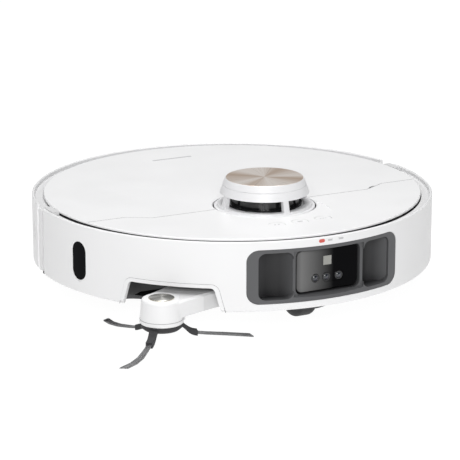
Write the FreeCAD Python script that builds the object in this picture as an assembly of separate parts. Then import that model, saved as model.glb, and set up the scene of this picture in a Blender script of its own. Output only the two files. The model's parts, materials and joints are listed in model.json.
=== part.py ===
import FreeCAD, Part
import math
import os

# Robotic floor cleaner with a retracting lidar turret, a sliding bumper, a swing-out side
# brush, a roller brush, sprung drive wheels, a swivel caster and two lifting mop discs.
# Millimetres. Z up, the floor is Z = 0, the front is -Y, and Z is the body's own axis.
# "psi" is the bearing seen from above, from the front (-Y) towards +X, in degrees.

V = FreeCAD.Vector
ORIGIN = V(0, 0, 0)
UP = V(0, 0, 1)

# ---- driving sizes -------------------------------------------------------------------
BODY_R = 175.0              # outer radius of the body
TOP_Z = 82.0                # height of the top plate and rim
SKIN = 2.5                  # thickness of outer skins and plates
WALL_BOTTOM = 22.5          # lower edge of the outer wall
BASE_Z = 12.0               # lowest plane of the underside
FLOOR_T = 2.5               # thickness of the tub's floor
BASE_FLAT_R = 128.0         # flat part of the underside
BATTERY_TOP = 44.0
BATTERY_PLAN = (46.0, 100.0, -104.0, -52.0)     # x and y of its sides
TROUGH_W = 10.0             # rim's outer face to the top plate's edge
TROUGH_D = 3.5              # depth of the trough
GAP = 0.6                   # seams between neighbouring covers
FIT = 0.05                  # radial running clearance of a shaft
BUMPER_TRAVEL = 4.0

BUMPER_END = 94.0           # bearing of the bumper's ends
SHELL_START = 100.0         # bearing where the rear shell starts

SEAM_MID_Y = -57.0          # seam between deck and lid, in the middle
SEAM_SIDE_Y = -45.0         # and at the sides
SEAM_BEND_X = (104.0, 126.0)
SEAM_NOTCH = (115.0, -58.6, 9.0)

TURRET_Y = -60.0
TURRET_HOLE_R = 44.5
TURRET_STROKE = 22.0
TURRET_BASE_R = 43.3
TURRET_CAP_R = 38.2
TURRET_CAP_TOP_R = 33.8
PILLAR_W = 5.2
TURRET_TOP = 106.0
GUIDE_POST_R = 3.0          # turret's guide post
LIFT_ROD_R = 2.5            # turret's lift rod

CAM_HALF_W = 70.4           # camera recess in the bumper
CAM_Z0 = 29.0
CAM_Z1 = 75.0
CAM_CORNER = 10.0
WINDOW_HALF_W = 28.3        # glossy camera window
WINDOW_Z0 = 35.4
WINDOW_Z1 = 70.3
OPENING_HALF_W = 30.2       # opening in the bezel around the window
LIP_W = 2.6                 # lip between that opening and the scoops
SCOOP_FRAME = 9.2           # flat frame outside the scoops
SCOOP_EDGE = 3.2            # flat frame above and below them
LENS_X = (-10.9, -0.6, 11.0)
LENS_Z = 45.9
LENS_R = 2.9
LIGHT_X = 0.2               # fill light in the camera window
LIGHT_Z = 59.9
LIGHT_HALF = 3.8

WALL_SENSOR_PSI = -74.4
WALL_SENSOR_W = 17.0
WALL_SENSOR_Z0 = 34.0
WALL_SENSOR_Z1 = 67.0

NOTCH_PSI = -44.3           # side brush notch in the bumper, over its trim's outer edge
NOTCH_TOP_HALF = 39.4
NOTCH_BOTTOM_HALF = 45.6
NOTCH_TOP = 46.2
NOTCH_TRIM = 3.0
NOTCH_CORNER = 7.0

HUB_X = -134.5              # side brush axis with the arm swung out
HUB_Y = -135.0
HUB_R = 18.0
HUB_TOP_R = 16.5
HUB_TOP = 37.5
HUB_BOTTOM = 17.0
HUB_SEAM = 20.6
SIDE_BRUSH_R = 76.0
MOTOR_R = 11.0              # side brush motor
MOTOR_SHAFT_R = 3.0
CAP_R = 10.4                # metal cap on the hub
SLEEVE_R = 29.5             # outer end of the rubber sleeves
BRUSH_ARM_ANGLES = (-138.0, -15.0, 104.0)
PIVOT_X = -74.0             # arm pivot
PIVOT_Y = -128.0
PIVOT_BOSS_R = 8.5
PIVOT_R = 4.0
ARM_BOTTOM = 23.0
ARM_TOP = 37.0
BAY_R = 84.0                # sweep of the arm about its pivot
BAY_X = -58.0               # inner end of the arm bay
BAY_Y = -56.0               # rear end of the arm bay
BAY_TOP = 44.0
BAY_WALL = 2.0

WHEEL_X = 118.0             # middle of the drive wheel
WHEEL_R = 35.0
WHEEL_W = 17.0
WHEEL_RIM_R = 25.0
AXLE_R = 4.0
SUSPENSION_Y = 48.0         # suspension pivot
WELL_X0 = 94.0
WELL_X1 = 131.0
WELL_Y0 = -41.0
WELL_Y1 = 62.0
WELL_TOP = 74.0
WELL_WALL = 2.0

CASTER_Y = -118.0           # swivel axis
CASTER_TRAIL = 4.0
CASTER_R = 17.5
CASTER_W = 20.0
CASTER_EDGE = 5.5           # rounding of the roller
CASTER_PIN_R = 2.5
CASTER_WELL_R = 26.5
CASTER_TOP = 44.0

BRUSH_Y = -26.0             # main brush axis
BRUSH_Z = 25.0
BRUSH_R = 20.8
BRUSH_CORE_R = 13.0
BRUSH_HALF = 82.0
BRUSH_PIN_R = 3.6
CHAMBER_HALF = 86.0
CHAMBER_R = 22.0
CHAMBER_WALL = 3.0

MOP_X = 66.0                # mop axes
MOP_Y = 88.0
MOP_R = 62.0
MOP_LIFT = 10.5             # pad's clearance when lifted
MOP_PAD_T = 4.0
MOP_HOLDER_T = 3.5
MOP_RECESS_R = 64.5
MOP_ROOF = 20.0
MOP_GEAR_R = 16.0
MOP_SHAFT_R = 3.5
MOP_GEAR_H = 24.0
MOP_GUIDE_GAP = 0.4

BIN_HALF = 56.0             # dust bin
BIN_Y0 = 2.0
BIN_Y1 = 67.0
BIN_Z0 = 34.0
BIN_TOP = 78.2
DUCT_HALF = 28.0            # air duct from the brush chamber to the bin
DUCT_T = 9.0
OUTLET_HALF = 12.0          # air outlet to the fan
OUTLET_T = 11.0
FAN_R = 26.0

CONTACT_PSI = (170.0, 190.0)    # charging contacts on the rear wall
CONTACT_HALF = 8.0
CONTACT_Z0 = 30.0
CONTACT_Z1 = 40.0
DOCK_HALF = 14.0            # window for the dock's beacon
DOCK_Z0 = 50.0
DOCK_Z1 = 62.0
SLIT_PSI = -103.5           # ventilation slits
SLIT_Z = 50.0
SLIT_PITCH = 2.4

BUTTON_Y = -122.7
BUTTON_PITCH = 22.0
BUTTON_R = 7.0
BUTTON_GAP = 0.3

# ---- sizes that follow from the ones above ---------------------------------------------
WALL_IN = BODY_R - SKIN
PLATE_R = BODY_R - TROUGH_W
PLATE_Z = TOP_Z - SKIN
TROUGH_Z = TOP_Z - TROUGH_D
FLANGE_T = 2.0
UNDERCUT_W = 3.5                          # undercut of the top plates' rim
UNDERCUT_Z = PLATE_Z + 0.8
FLANGE_Z = TROUGH_Z - FLANGE_T
TUB_R = PLATE_R - BUMPER_TRAVEL - 0.5     # outer face of the tub's standing wall
TUB_IN = TUB_R - 2.2
RIM_R = BODY_R - 11.0                     # lower lip of the tub
FLOOR_Z = BASE_Z + FLOOR_T
WALL_FOOT = 3.0                           # rounding of the wall's lower edge
WALL_LIP = 2.2                            # height of the lip behind it
LIP_DEPTH = 1.5                           # and its depth
STRIP_DEPTH = 1.3                         # side strips lie this far inside the wall
RIM_CHAMFER = 0.7
BEZEL_IN = BODY_R - 18.0
CAM_BACK = BEZEL_IN - BUMPER_TRAVEL - 1.0
CAM_SPAN = 27.0                           # bearing of the camera bay's ends
LIP_Y = -(BODY_R - 5.2)                   # raised lip around the camera window
WINDOW_Y = LIP_Y + 1.2
WINDOW_T = 2.0
TURRET_FLANGE_Z = TOP_Z - 4.5
WINDOW_BAND_Z = TOP_Z + 1.3
CAP_Z = TOP_Z + 11.0
WELL_FLOOR = TURRET_FLANGE_Z - TURRET_STROKE - 1.5
GUIDE_X = 30.0
GUIDE_Y = TURRET_Y - 22.0
MOP_HOLDER_Z = MOP_LIFT + MOP_PAD_T
DUCT_Z = BIN_Z0 + 3.0
FAN_Y = BIN_Y1 + 6.0 + FAN_R
GUARD_HALF = CHAMBER_R + CHAMBER_WALL + 4.0
SWIVEL_R = CASTER_WELL_R - 1.5


# ---- helpers -----------------------------------------------------------------------------
def cyl(r, z0, z1, x=0.0, y=0.0):
    return Part.makeCylinder(r, z1 - z0, V(x, y, z0))


def tube(r_in, r_out, z0, z1, x=0.0, y=0.0):
    return cyl(r_out, z0, z1, x, y).cut(cyl(r_in, z0, z1, x, y))


def bar_x(r, x0, x1, y, z):
    return Part.makeCylinder(r, x1 - x0, V(x0, y, z), V(1, 0, 0))


def bar_y(r, y0, y1, x, z):
    return Part.makeCylinder(r, y1 - y0, V(x, y0, z), V(0, 1, 0))


def box(x0, x1, y0, y1, z0, z1):
    return Part.makeBox(x1 - x0, y1 - y0, z1 - z0, V(x0, y0, z0))


def fused(shapes):
    return shapes[0].multiFuse(shapes[1:]).removeSplitter()


def edges_along(shape, axis):
    found = []
    for edge in shape.Edges:
        if isinstance(edge.Curve, Part.Line):
            if abs(abs(edge.Curve.Direction.dot(axis)) - 1.0) < 1e-6:
                found.append(edge)
    return found


def rounded_box(x0, x1, y0, y1, z0, z1, corner, axis=UP):
    block = box(x0, x1, y0, y1, z0, z1)
    return block.makeFillet(corner, edges_along(block, axis))


def turned(points, x=0.0, y=0.0, psi0=0.0, psi1=360.0):
    """Closed (radius, height) outline turned about a vertical axis from psi0 to psi1."""
    wire = Part.makePolygon([V(r, 0, z) for r, z in points + points[:1]])
    solid = Part.Face(wire).revolve(ORIGIN, UP, psi1 - psi0)
    if solid.Volume < 0:
        solid.reverse()
    solid.rotate(ORIGIN, UP, psi0 - 90.0)
    solid.translate(V(x, y, 0))
    return solid


def sector(r0, r1, z0, z1, psi0, psi1):
    return turned([(r0, z0), (r1, z0), (r1, z1), (r0, z1)], 0, 0, psi0, psi1)


def facing(shape, psi):
    """Turn a shape built on the front (-Y) side to another bearing."""
    turned_shape = shape.copy()
    turned_shape.rotate(ORIGIN, UP, psi)
    return turned_shape


def radial_prism(half_w, z0, z1, corner, r0, r1, psi=0.0):
    block = rounded_box(-half_w, half_w, -r1, -r0, z0, z1, corner, V(0, 1, 0))
    return facing(block, psi)


def plan_prism(points, z0, z1):
    wire = Part.makePolygon([V(x, y, z0) for x, y in points + points[:1]])
    return Part.Face(wire).extrude(V(0, 0, z1 - z0))


def mirrored(shape):
    return shape.mirror(ORIGIN, V(1, 0, 0))


def wall_outline(flange_in, foot_in):
    """Outer wall with a rounded foot, a thin rim and the flange that floors the trough."""
    foot = []
    for step in range(5):
        turn = math.radians(90.0 * step / 4.0)
        r = BODY_R - WALL_FOOT + WALL_FOOT * math.sin(turn)
        z = WALL_BOTTOM + WALL_FOOT - WALL_FOOT * math.cos(turn)
        foot.append((r, z))
    rim = [(BODY_R, TOP_Z - RIM_CHAMFER), (BODY_R - RIM_CHAMFER, TOP_Z)]
    rim += [(WALL_IN + RIM_CHAMFER, TOP_Z), (WALL_IN, TOP_Z - RIM_CHAMFER)]
    flange = [(WALL_IN, TROUGH_Z), (flange_in, TROUGH_Z), (flange_in, FLANGE_Z), (WALL_IN, FLANGE_Z)]
    lip_z = WALL_BOTTOM + WALL_LIP
    return foot + rim + flange + [(WALL_IN, lip_z), (foot_in, lip_z), (foot_in, WALL_BOTTOM)]


# ---- chassis -------------------------------------------------------------------------------
def bay_plan(inset, z0, z1):
    """Plan of the arm's sweep: a disc about the pivot, cut off at its inner and rear ends."""
    disc = cyl(BAY_R - inset, z0, z1, PIVOT_X, PIVOT_Y)
    return disc.common(box(-2 * BODY_R, BAY_X - inset, -2 * BODY_R, BAY_Y - inset, z0, z1))


def seam_plan(offset, front):
    """Ground in front of (or behind) the seam between the fixed deck and the lid."""
    y_mid = SEAM_MID_Y + offset
    y_side = SEAM_SIDE_Y + offset
    near, far = SEAM_BEND_X
    beyond = 2 * BODY_R
    end = -beyond if front else beyond
    points = [(-beyond, end), (-beyond, y_side), (-far, y_side), (-near, y_mid)]
    points += [(near, y_mid), (far, y_side), (beyond, y_side), (beyond, end)]
    return plan_prism(points, PLATE_Z - 1, TOP_Z + 1)


def tub_shell():
    outline = [(0, BASE_Z), (BASE_FLAT_R, BASE_Z), (RIM_R, WALL_BOTTOM), (RIM_R, WALL_BOTTOM + 3)]
    outline += [(TUB_R, WALL_BOTTOM + 3), (TUB_R, PLATE_Z), (TUB_IN, PLATE_Z)]
    outline += [(TUB_IN, WALL_BOTTOM + 3), (BASE_FLAT_R - 1, FLOOR_Z), (0, FLOOR_Z)]
    return turned(outline)


def mop_pockets():
    """Recesses above the mop discs, with the guide tubes that the mop gearboxes slide in."""
    hull = turned([(0, BASE_Z), (BASE_FLAT_R, BASE_Z), (RIM_R, WALL_BOTTOM), (0, WALL_BOTTOM)])
    pocket = cyl(MOP_RECESS_R + 2, BASE_Z, MOP_ROOF + 2, MOP_X, MOP_Y).common(hull)
    pocket = pocket.cut(cyl(MOP_RECESS_R, 0, MOP_ROOF, MOP_X, MOP_Y))
    pocket = pocket.cut(box(-BODY_R, 0, 0, BODY_R, 0, TOP_Z))
    bore_r = MOP_GEAR_R + MOP_GUIDE_GAP
    guide = tube(bore_r, bore_r + 2.5, MOP_ROOF, MOP_ROOF + MOP_GEAR_H + 2, MOP_X, MOP_Y)
    bore = cyl(bore_r, 0, TOP_Z, MOP_X, MOP_Y)
    return [pocket.cut(bore), mirrored(pocket.cut(bore)), guide, mirrored(guide)]


def well_block(z0):
    wall = WELL_WALL
    return box(WELL_X0 - wall, WELL_X1 + wall, WELL_Y0 - wall, WELL_Y1 + wall, z0, WELL_TOP + wall)


def wheel_wells():
    """Housings of the two wheel modules, each with the pin that its gearbox swings on."""
    well = well_block(BASE_Z).cut(box(WELL_X0, WELL_X1, WELL_Y0, WELL_Y1, 0, WELL_TOP))
    well = well.cut(cyl(MOP_RECESS_R, 0, MOP_ROOF, MOP_X, MOP_Y))
    pin = bar_x(AXLE_R, WELL_X0 - 1, WELL_X0 + 13, SUSPENSION_Y, WHEEL_R)
    module = well.fuse(pin).removeSplitter()
    return Part.makeCompound([module, mirrored(module)])


def caster_socket():
    cup = cyl(CASTER_WELL_R + 2, BASE_Z, CASTER_TOP + 2, 0, CASTER_Y)
    cup = cup.cut(cyl(CASTER_WELL_R, 0, CASTER_TOP, 0, CASTER_Y))
    boss = cyl(9, CASTER_TOP, CASTER_TOP + 15, 0, CASTER_Y)
    return cup.fuse(boss).cut(cyl(AXLE_R + FIT, CASTER_TOP - 1, CASTER_TOP + 14, 0, CASTER_Y))


def bin_tray():
    y0 = BRUSH_Y + CHAMBER_R + CHAMBER_WALL - 0.5
    tray = box(-BIN_HALF - 3, BIN_HALF + 3, y0, BIN_Y1 + 3, BIN_Z0 - 4, BIN_Z0 + 26)
    room = box(-BIN_HALF - 0.6, BIN_HALF + 0.6, BIN_Y0 - 0.6, BIN_Y1 + 0.6, BIN_Z0, BIN_Z0 + 30)
    duct = box(-DUCT_HALF, DUCT_HALF, y0 - 5, BIN_Y0, DUCT_Z, DUCT_Z + DUCT_T)
    outlet = box(-OUTLET_HALF, OUTLET_HALF, BIN_Y1, BIN_Y1 + 9, DUCT_Z, DUCT_Z + OUTLET_T)
    leg = box(BIN_HALF - 6, BIN_HALF, 8, 16, FLOOR_Z, BIN_Z0 - 4)
    return fused([tray.cut([room, duct, outlet]), leg, mirrored(leg)])


CLIFF_R = 6.0
SCREW_R = 3.2
CLIFF_SPOTS = ((38, -120), (-37, -120), (108, -62), (0, 118))
SCREW_SPOTS = ((46, -104), (-34, -96), (88, -62), (-72, 12), (72, 12), (0, 10))


def chassis_base():
    """Tub: floor, standing wall, mop pockets and caster socket, opened for all that passes it."""
    room = cyl(MOP_RECESS_R + 1, 0, MOP_ROOF, MOP_X, MOP_Y)
    guide = cyl(MOP_GEAR_R + MOP_GUIDE_GAP, 0, TOP_Z, MOP_X, MOP_Y)
    base = tub_shell().cut([room, mirrored(room), guide, mirrored(guide)])
    base = base.multiFuse(mop_pockets() + [caster_socket()])
    half = CHAMBER_HALF + CHAMBER_WALL
    reach = CHAMBER_R + CHAMBER_WALL - 0.5
    cuts = [box(-half, half, BRUSH_Y - reach, BRUSH_Y + reach, 0, FLOOR_Z + 1)]
    cuts += [well_block(0), mirrored(well_block(0))]
    cuts.append(cyl(CASTER_WELL_R, 0, CASTER_TOP, 0, CASTER_Y))
    cuts.append(bay_plan(0, 0, BAY_TOP + BAY_WALL))
    cuts.append(sector(CAM_BACK, BODY_R, CAM_Z0 - 4, PLATE_Z - 2, -CAM_SPAN, CAM_SPAN))
    cuts += [cyl(CLIFF_R + 0.2, 0, FLOOR_Z + 3, x, y) for x, y in CLIFF_SPOTS]
    cuts += [cyl(SCREW_R, 0, FLOOR_Z + 1, x, y) for x, y in SCREW_SPOTS]
    return base.cut(cuts).removeSplitter()


def arm_bay():
    """Black liner over the side brush arm, with the pin that the arm swings on."""
    top = BAY_TOP + BAY_WALL
    liner = bay_plan(0, WALL_BOTTOM - 3, top).cut(bay_plan(BAY_WALL, 0, BAY_TOP))
    inside = turned([(0, BASE_Z), (BASE_FLAT_R - 1, FLOOR_Z), (TUB_IN, WALL_BOTTOM + 3),
                     (TUB_R, WALL_BOTTOM + 3), (TUB_R, top), (0, top)])
    camera = sector(CAM_BACK - 3, BODY_R, 0, TOP_Z, -CAM_SPAN - 1, CAM_SPAN + 1)
    pin = cyl(PIVOT_R, ARM_BOTTOM - 0.5, BAY_TOP + 1, PIVOT_X, PIVOT_Y)
    return liner.common(inside).cut(camera).fuse(pin).removeSplitter()


def side_strip():
    """Recessed strip between bumper and rear shell, with the block that closes the trough."""
    start = BUMPER_END + 0.8
    end = SHELL_START + 0.3
    low = WALL_BOTTOM + WALL_LIP
    inner = WALL_IN - 0.5
    foot_r = WALL_IN - LIP_DEPTH - 0.5
    back_r = BODY_R - 6
    pieces = [sector(back_r, inner, low, TROUGH_Z, start, end)]
    pieces.append(sector(back_r + 1, BODY_R - STRIP_DEPTH, low, TROUGH_Z, start + 1.7, end))
    pieces.append(sector(TUB_R, back_r + 1, FLANGE_Z, TROUGH_Z, start, end))
    pieces.append(sector(PLATE_R + GAP, inner, TROUGH_Z + GAP, TOP_Z, BUMPER_END - 4.7, start + 0.8))
    pieces.append(sector(PLATE_R + GAP, inner, TROUGH_Z - 1, TROUGH_Z + 1, start, start + 0.8))
    pieces.append(sector(RIM_R, foot_r, WALL_BOTTOM, low + 1, start, end))
    return pieces


def vent_slits():
    slits = []
    for step in range(5):
        slit = box(-0.6, 0.6, -BODY_R - 3, -BODY_R + 6, -4, 4)
        slit.rotate(ORIGIN, V(0, 1, 0), 28)
        slit.translate(V(0, 0, SLIT_Z + SLIT_PITCH * step))
        slits.append(facing(slit, SLIT_PSI - 0.35 * step))
    return slits


def rear_shell():
    shell = turned(wall_outline(TUB_R, RIM_R), 0, 0, SHELL_START, 360 - SHELL_START)
    strips = side_strip() + [mirrored(s) for s in side_strip()]
    shell = shell.multiFuse(strips)
    slits = vent_slits()
    openings = [radial_prism(CONTACT_HALF + 0.2, CONTACT_Z0 - 0.2, CONTACT_Z1 + 0.2, 1.2,
                             BODY_R - 6, BODY_R + 2, psi) for psi in CONTACT_PSI]
    openings.append(radial_prism(DOCK_HALF + 0.2, DOCK_Z0 - 0.2, DOCK_Z1 + 0.2, 4, BODY_R - 6, BODY_R + 2, 180))
    return shell.cut(slits + [mirrored(s) for s in slits] + openings).removeSplitter()


def top_plate():
    """Round plate whose rim is undercut, so that a shadow line runs below its edge."""
    plate = turned([(0, PLATE_Z), (PLATE_R - UNDERCUT_W, PLATE_Z), (PLATE_R - UNDERCUT_W, UNDERCUT_Z),
                    (PLATE_R, UNDERCUT_Z), (PLATE_R, TOP_Z), (0, TOP_Z)])
    return plate.makeChamfer(0.6, [e for e in plate.Edges if e.BoundBox.ZMin > TOP_Z - 0.1])


def front_deck():
    plate = top_plate().common(seam_plan(-GAP / 2, True))
    plate = plate.cut(turret_hole())
    pocket = cyl(45.0, TOP_Z - 0.4, TOP_Z + 1, 0, TURRET_Y - 24)
    plate = plate.cut(pocket)
    holes = [cyl(BUTTON_R + BUTTON_GAP, 0, TOP_Z + 1, x, BUTTON_Y) for x in button_places()]
    cups = [button_cup(x) for x in button_places()]
    return plate.cut(holes).multiFuse(cups).removeSplitter()


def turret_hole():
    hole = turned([(0, 0), (TURRET_HOLE_R, 0), (TURRET_HOLE_R, TOP_Z - 0.8),
                   (TURRET_HOLE_R + 1.2, TOP_Z + 0.4), (0, TOP_Z + 0.4)], 0, TURRET_Y)
    return hole


def button_places():
    return [BUTTON_PITCH * step for step in (-1, 0, 1)]


def button_cup(x):
    cup = cyl(BUTTON_R + 2.5, PLATE_Z - 4, PLATE_Z, x, BUTTON_Y)
    cup = cup.cut(cyl(BUTTON_R + BUTTON_GAP, PLATE_Z - 3, PLATE_Z, x, BUTTON_Y))
    return cup.cut(cyl(2.5, PLATE_Z - 5, PLATE_Z, x, BUTTON_Y))


def button(x):
    cap = cyl(BUTTON_R, PLATE_Z - 1.6, TOP_Z - 0.4, x, BUTTON_Y)
    cap = cap.makeFillet(0.3, [e for e in cap.Edges if e.BoundBox.ZMin > TOP_Z - 0.5])
    stem = cyl(2.0, PLATE_Z - 5.5, PLATE_Z - 1.6, x, BUTTON_Y)
    return cap.fuse(stem)


def turret_lift():
    """Well that the turret sinks into, its guide tube and the lift actuator."""
    well = cyl(TURRET_HOLE_R + 2, WELL_FLOOR - 2, PLATE_Z, 0, TURRET_Y)
    well = well.cut(cyl(TURRET_HOLE_R, WELL_FLOOR, PLATE_Z, 0, TURRET_Y))
    guide = cyl(GUIDE_POST_R + 2, WELL_FLOOR - 18, WELL_FLOOR, -GUIDE_X, GUIDE_Y)
    actuator = cyl(LIFT_ROD_R + 3.5, FLOOR_Z, WELL_FLOOR, GUIDE_X, GUIDE_Y)
    bores = [cyl(GUIDE_POST_R + FIT, 0, TOP_Z, -GUIDE_X, GUIDE_Y)]
    bores += [cyl(LIFT_ROD_R + FIT, FLOOR_Z + 4, TOP_Z, GUIDE_X, GUIDE_Y)]
    return fused([well, guide, actuator]).cut(bores)


def camera_housing():
    back = sector(CAM_BACK - 2.5, CAM_BACK, CAM_Z0 - 4, PLATE_Z - 2, -CAM_SPAN + 2, CAM_SPAN - 2)
    nose_y = WINDOW_Y + 2.0
    nose = box(-WINDOW_HALF_W + 1, WINDOW_HALF_W - 1, nose_y, -CAM_BACK + 6, WINDOW_Z0 + 1, WINDOW_Z1 - 1)
    nose = nose.cut(cyl(CAM_BACK - 1, 0, TOP_Z))
    return back.fuse(nose).removeSplitter()


def camera_window():
    """Glossy plate with a sunk pill around two lenses, a sunk ring around the third, and bores."""
    face_y = WINDOW_Y - 1
    along = V(0, 1, 0)
    plate = rounded_box(-WINDOW_HALF_W, WINDOW_HALF_W, WINDOW_Y, WINDOW_Y + WINDOW_T,
                        WINDOW_Z0, WINDOW_Z1, 5.0, along)
    front = [e for e in plate.Edges if e.BoundBox.YMax < WINDOW_Y + 0.01]
    plate = plate.makeFillet(0.7, front)
    rim = LENS_R + 1.5
    pill = rounded_box(LENS_X[1] - rim, LENS_X[2] + rim, face_y, WINDOW_Y + 0.5,
                       LENS_Z - rim, LENS_Z + rim, rim - 0.1, along)
    ring = bar_y(LENS_R + 1, face_y, WINDOW_Y + 0.4, LENS_X[0], LENS_Z)
    bores = [bar_y(LENS_R, face_y, WINDOW_Y + WINDOW_T + 1, x, LENS_Z) for x in LENS_X]
    half = LIGHT_HALF + 0.1
    light = box(LIGHT_X - half, LIGHT_X + half, face_y, WINDOW_Y + WINDOW_T + 1, LIGHT_Z - half, LIGHT_Z + half)
    return plate.cut([pill, ring, light] + bores)


def lens(x):
    barrel = bar_y(LENS_R, WINDOW_Y + 0.4, WINDOW_Y + WINDOW_T, x, LENS_Z)
    dome = Part.makeSphere(LENS_R + 0.5, V(x, WINDOW_Y + 3.1, LENS_Z))
    keep = bar_y(LENS_R - 0.8, WINDOW_Y - 0.6, WINDOW_Y + 1.2, x, LENS_Z)
    return barrel.fuse(dome.common(keep))


def fill_light_window():
    return box(LIGHT_X - LIGHT_HALF, LIGHT_X + LIGHT_HALF, WINDOW_Y + 0.15, WINDOW_Y + WINDOW_T,
               LIGHT_Z - LIGHT_HALF, LIGHT_Z + LIGHT_HALF)


def brush_chamber():
    half = CHAMBER_HALF + CHAMBER_WALL
    reach = CHAMBER_R + CHAMBER_WALL - 0.5
    block = box(-half, half, BRUSH_Y - reach, BRUSH_Y + reach, BASE_Z, BRUSH_Z + CHAMBER_R + 2.5)
    room = bar_x(CHAMBER_R, -CHAMBER_HALF, CHAMBER_HALF, BRUSH_Y, BRUSH_Z)
    mouth = box(-CHAMBER_HALF, CHAMBER_HALF, BRUSH_Y - CHAMBER_R, BRUSH_Y + CHAMBER_R, 0, BRUSH_Z)
    pins = bar_x(BRUSH_PIN_R + FIT, -CHAMBER_HALF - 2, CHAMBER_HALF + 2, BRUSH_Y, BRUSH_Z)
    duct = box(-DUCT_HALF, DUCT_HALF, BRUSH_Y, BRUSH_Y + reach + 1, DUCT_Z, DUCT_Z + DUCT_T)
    return block.cut([room, mouth, pins, duct])


def brush_guard():
    half = CHAMBER_HALF + CHAMBER_WALL
    low = BASE_Z - 1.8
    frame = rounded_box(-half - 3, half + 3, BRUSH_Y - GUARD_HALF, BRUSH_Y + GUARD_HALF, low, BASE_Z, 4)
    mouth = BRUSH_R + 0.7
    frame = frame.cut(box(-BRUSH_HALF - 0.5, BRUSH_HALF + 0.5, BRUSH_Y - mouth, BRUSH_Y + mouth, 0, BASE_Z))
    frame = frame.cut(box(WELL_X0, WELL_X1, WELL_Y0, WELL_Y1, 0, BASE_Z))
    frame = frame.cut(box(-WELL_X1, -WELL_X0, WELL_Y0, WELL_Y1, 0, BASE_Z))
    return frame.removeSplitter()


def main_brush_drive():
    side_x = CHAMBER_HALF + CHAMBER_WALL
    motor = bar_x(10, BIN_HALF + 5, side_x, 9.5, 28)
    case = rounded_box(side_x, WELL_X0 - WELL_WALL - 0.5, BRUSH_Y - 16, 20, FLOOR_Z, 41, 3, V(1, 0, 0))
    foot = box(BIN_HALF + 8, CHAMBER_HALF, 4, 15, FLOOR_Z, 20)
    return fused([motor, case, foot])


def suction_fan():
    scroll_top = MOP_ROOF + 30
    scroll = cyl(FAN_R, MOP_ROOF + 2, scroll_top, 0, FAN_Y)
    scroll = scroll.cut([cyl(MOP_GEAR_R + 3.2, 0, TOP_Z, x, MOP_Y) for x in (-MOP_X, MOP_X)])
    motor = cyl(17, scroll_top, scroll_top + 16, 0, FAN_Y)
    neck = box(-OUTLET_HALF, OUTLET_HALF, BIN_Y1 + 3, FAN_Y - 20, DUCT_Z, DUCT_Z + OUTLET_T)
    return fused([scroll, motor, neck])


def battery_pack():
    x0, x1, y0, y1 = BATTERY_PLAN
    low = FLOOR_Z + 6.5
    feet = [cyl(4, FLOOR_Z, low, x, y) for x in (x0 + 8, x1 - 16) for y in (y0 + 16, y1 - 12)]
    return fused([rounded_box(x0, x1, y0, y1, low, BATTERY_TOP, 4)] + feet)


def main_circuit_board():
    """Board on four posts over the battery, with two chips."""
    x0, x1, y0, y1 = [side + inset for side, inset in zip(BATTERY_PLAN, (4, -4, 4, -4))]
    z = BATTERY_TOP + 6
    top = z + 1.6
    posts = [cyl(2.5, BATTERY_TOP, z, x, y) for x in (x0 + 4, x1 - 4) for y in (y0 + 4, y1 - 4)]
    chips = [box(x0 + 12, x0 + 26, y0 + 10, y0 + 24, z, top + 2.0)]
    chips.append(box(x1 - 16, x1 - 8, y1 - 16, y1 - 8, z, top + 1.6))
    return fused([box(x0, x1, y0, y1, z, top)] + posts + chips)


def charging_contacts():
    plates = []
    for psi in CONTACT_PSI:
        plates.append(radial_prism(CONTACT_HALF, CONTACT_Z0, CONTACT_Z1, 1, BODY_R - 5, BODY_R - 0.6, psi))
    return Part.makeCompound(plates)


def dock_window():
    block = radial_prism(DOCK_HALF, DOCK_Z0, DOCK_Z1, 3.8, BODY_R - 5, BODY_R + 2, 180)
    return block.common(cyl(BODY_R - 0.3, 0, TOP_Z))


def cliff_sensors():
    return Part.makeCompound([cyl(CLIFF_R, BASE_Z + 0.3, FLOOR_Z + 2, x, y) for x, y in CLIFF_SPOTS])


def chassis_screws():
    screws = []
    for x, y in SCREW_SPOTS:
        head = cyl(SCREW_R, BASE_Z + 0.4, FLOOR_Z, x, y)
        cross = [box(x - 2, x + 2, y - 0.4, y + 0.4, 0, BASE_Z + 1.4)]
        cross += [box(x - 0.4, x + 0.4, y - 2, y + 2, 0, BASE_Z + 1.4)]
        screws.append(head.cut(cross))
    return Part.makeCompound(screws)


# ---- bumper --------------------------------------------------------------------------------
def notch_prism(grow, r0, r1):
    """Side brush notch: a rounded trapezium pushed through the wall."""
    low = WALL_BOTTOM - 8
    slope = (NOTCH_BOTTOM_HALF - NOTCH_TOP_HALF) / (NOTCH_TOP - WALL_BOTTOM)
    top_half = NOTCH_TOP_HALF + grow
    low_half = NOTCH_BOTTOM_HALF + grow + slope * (WALL_BOTTOM - low)
    top = NOTCH_TOP + grow
    corners = [(-low_half, low), (low_half, low), (top_half, top), (-top_half, top)]
    wire = Part.makePolygon([V(x, -r1, z) for x, z in corners + corners[:1]])
    prism = Part.Face(wire).extrude(V(0, r1 - r0, 0))
    upper = []
    for edge in edges_along(prism, V(0, 1, 0)):
        if edge.BoundBox.ZMin > top - 1:
            upper.append(edge)
    return facing(prism.makeFillet(NOTCH_CORNER + grow, upper), NOTCH_PSI)


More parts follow.
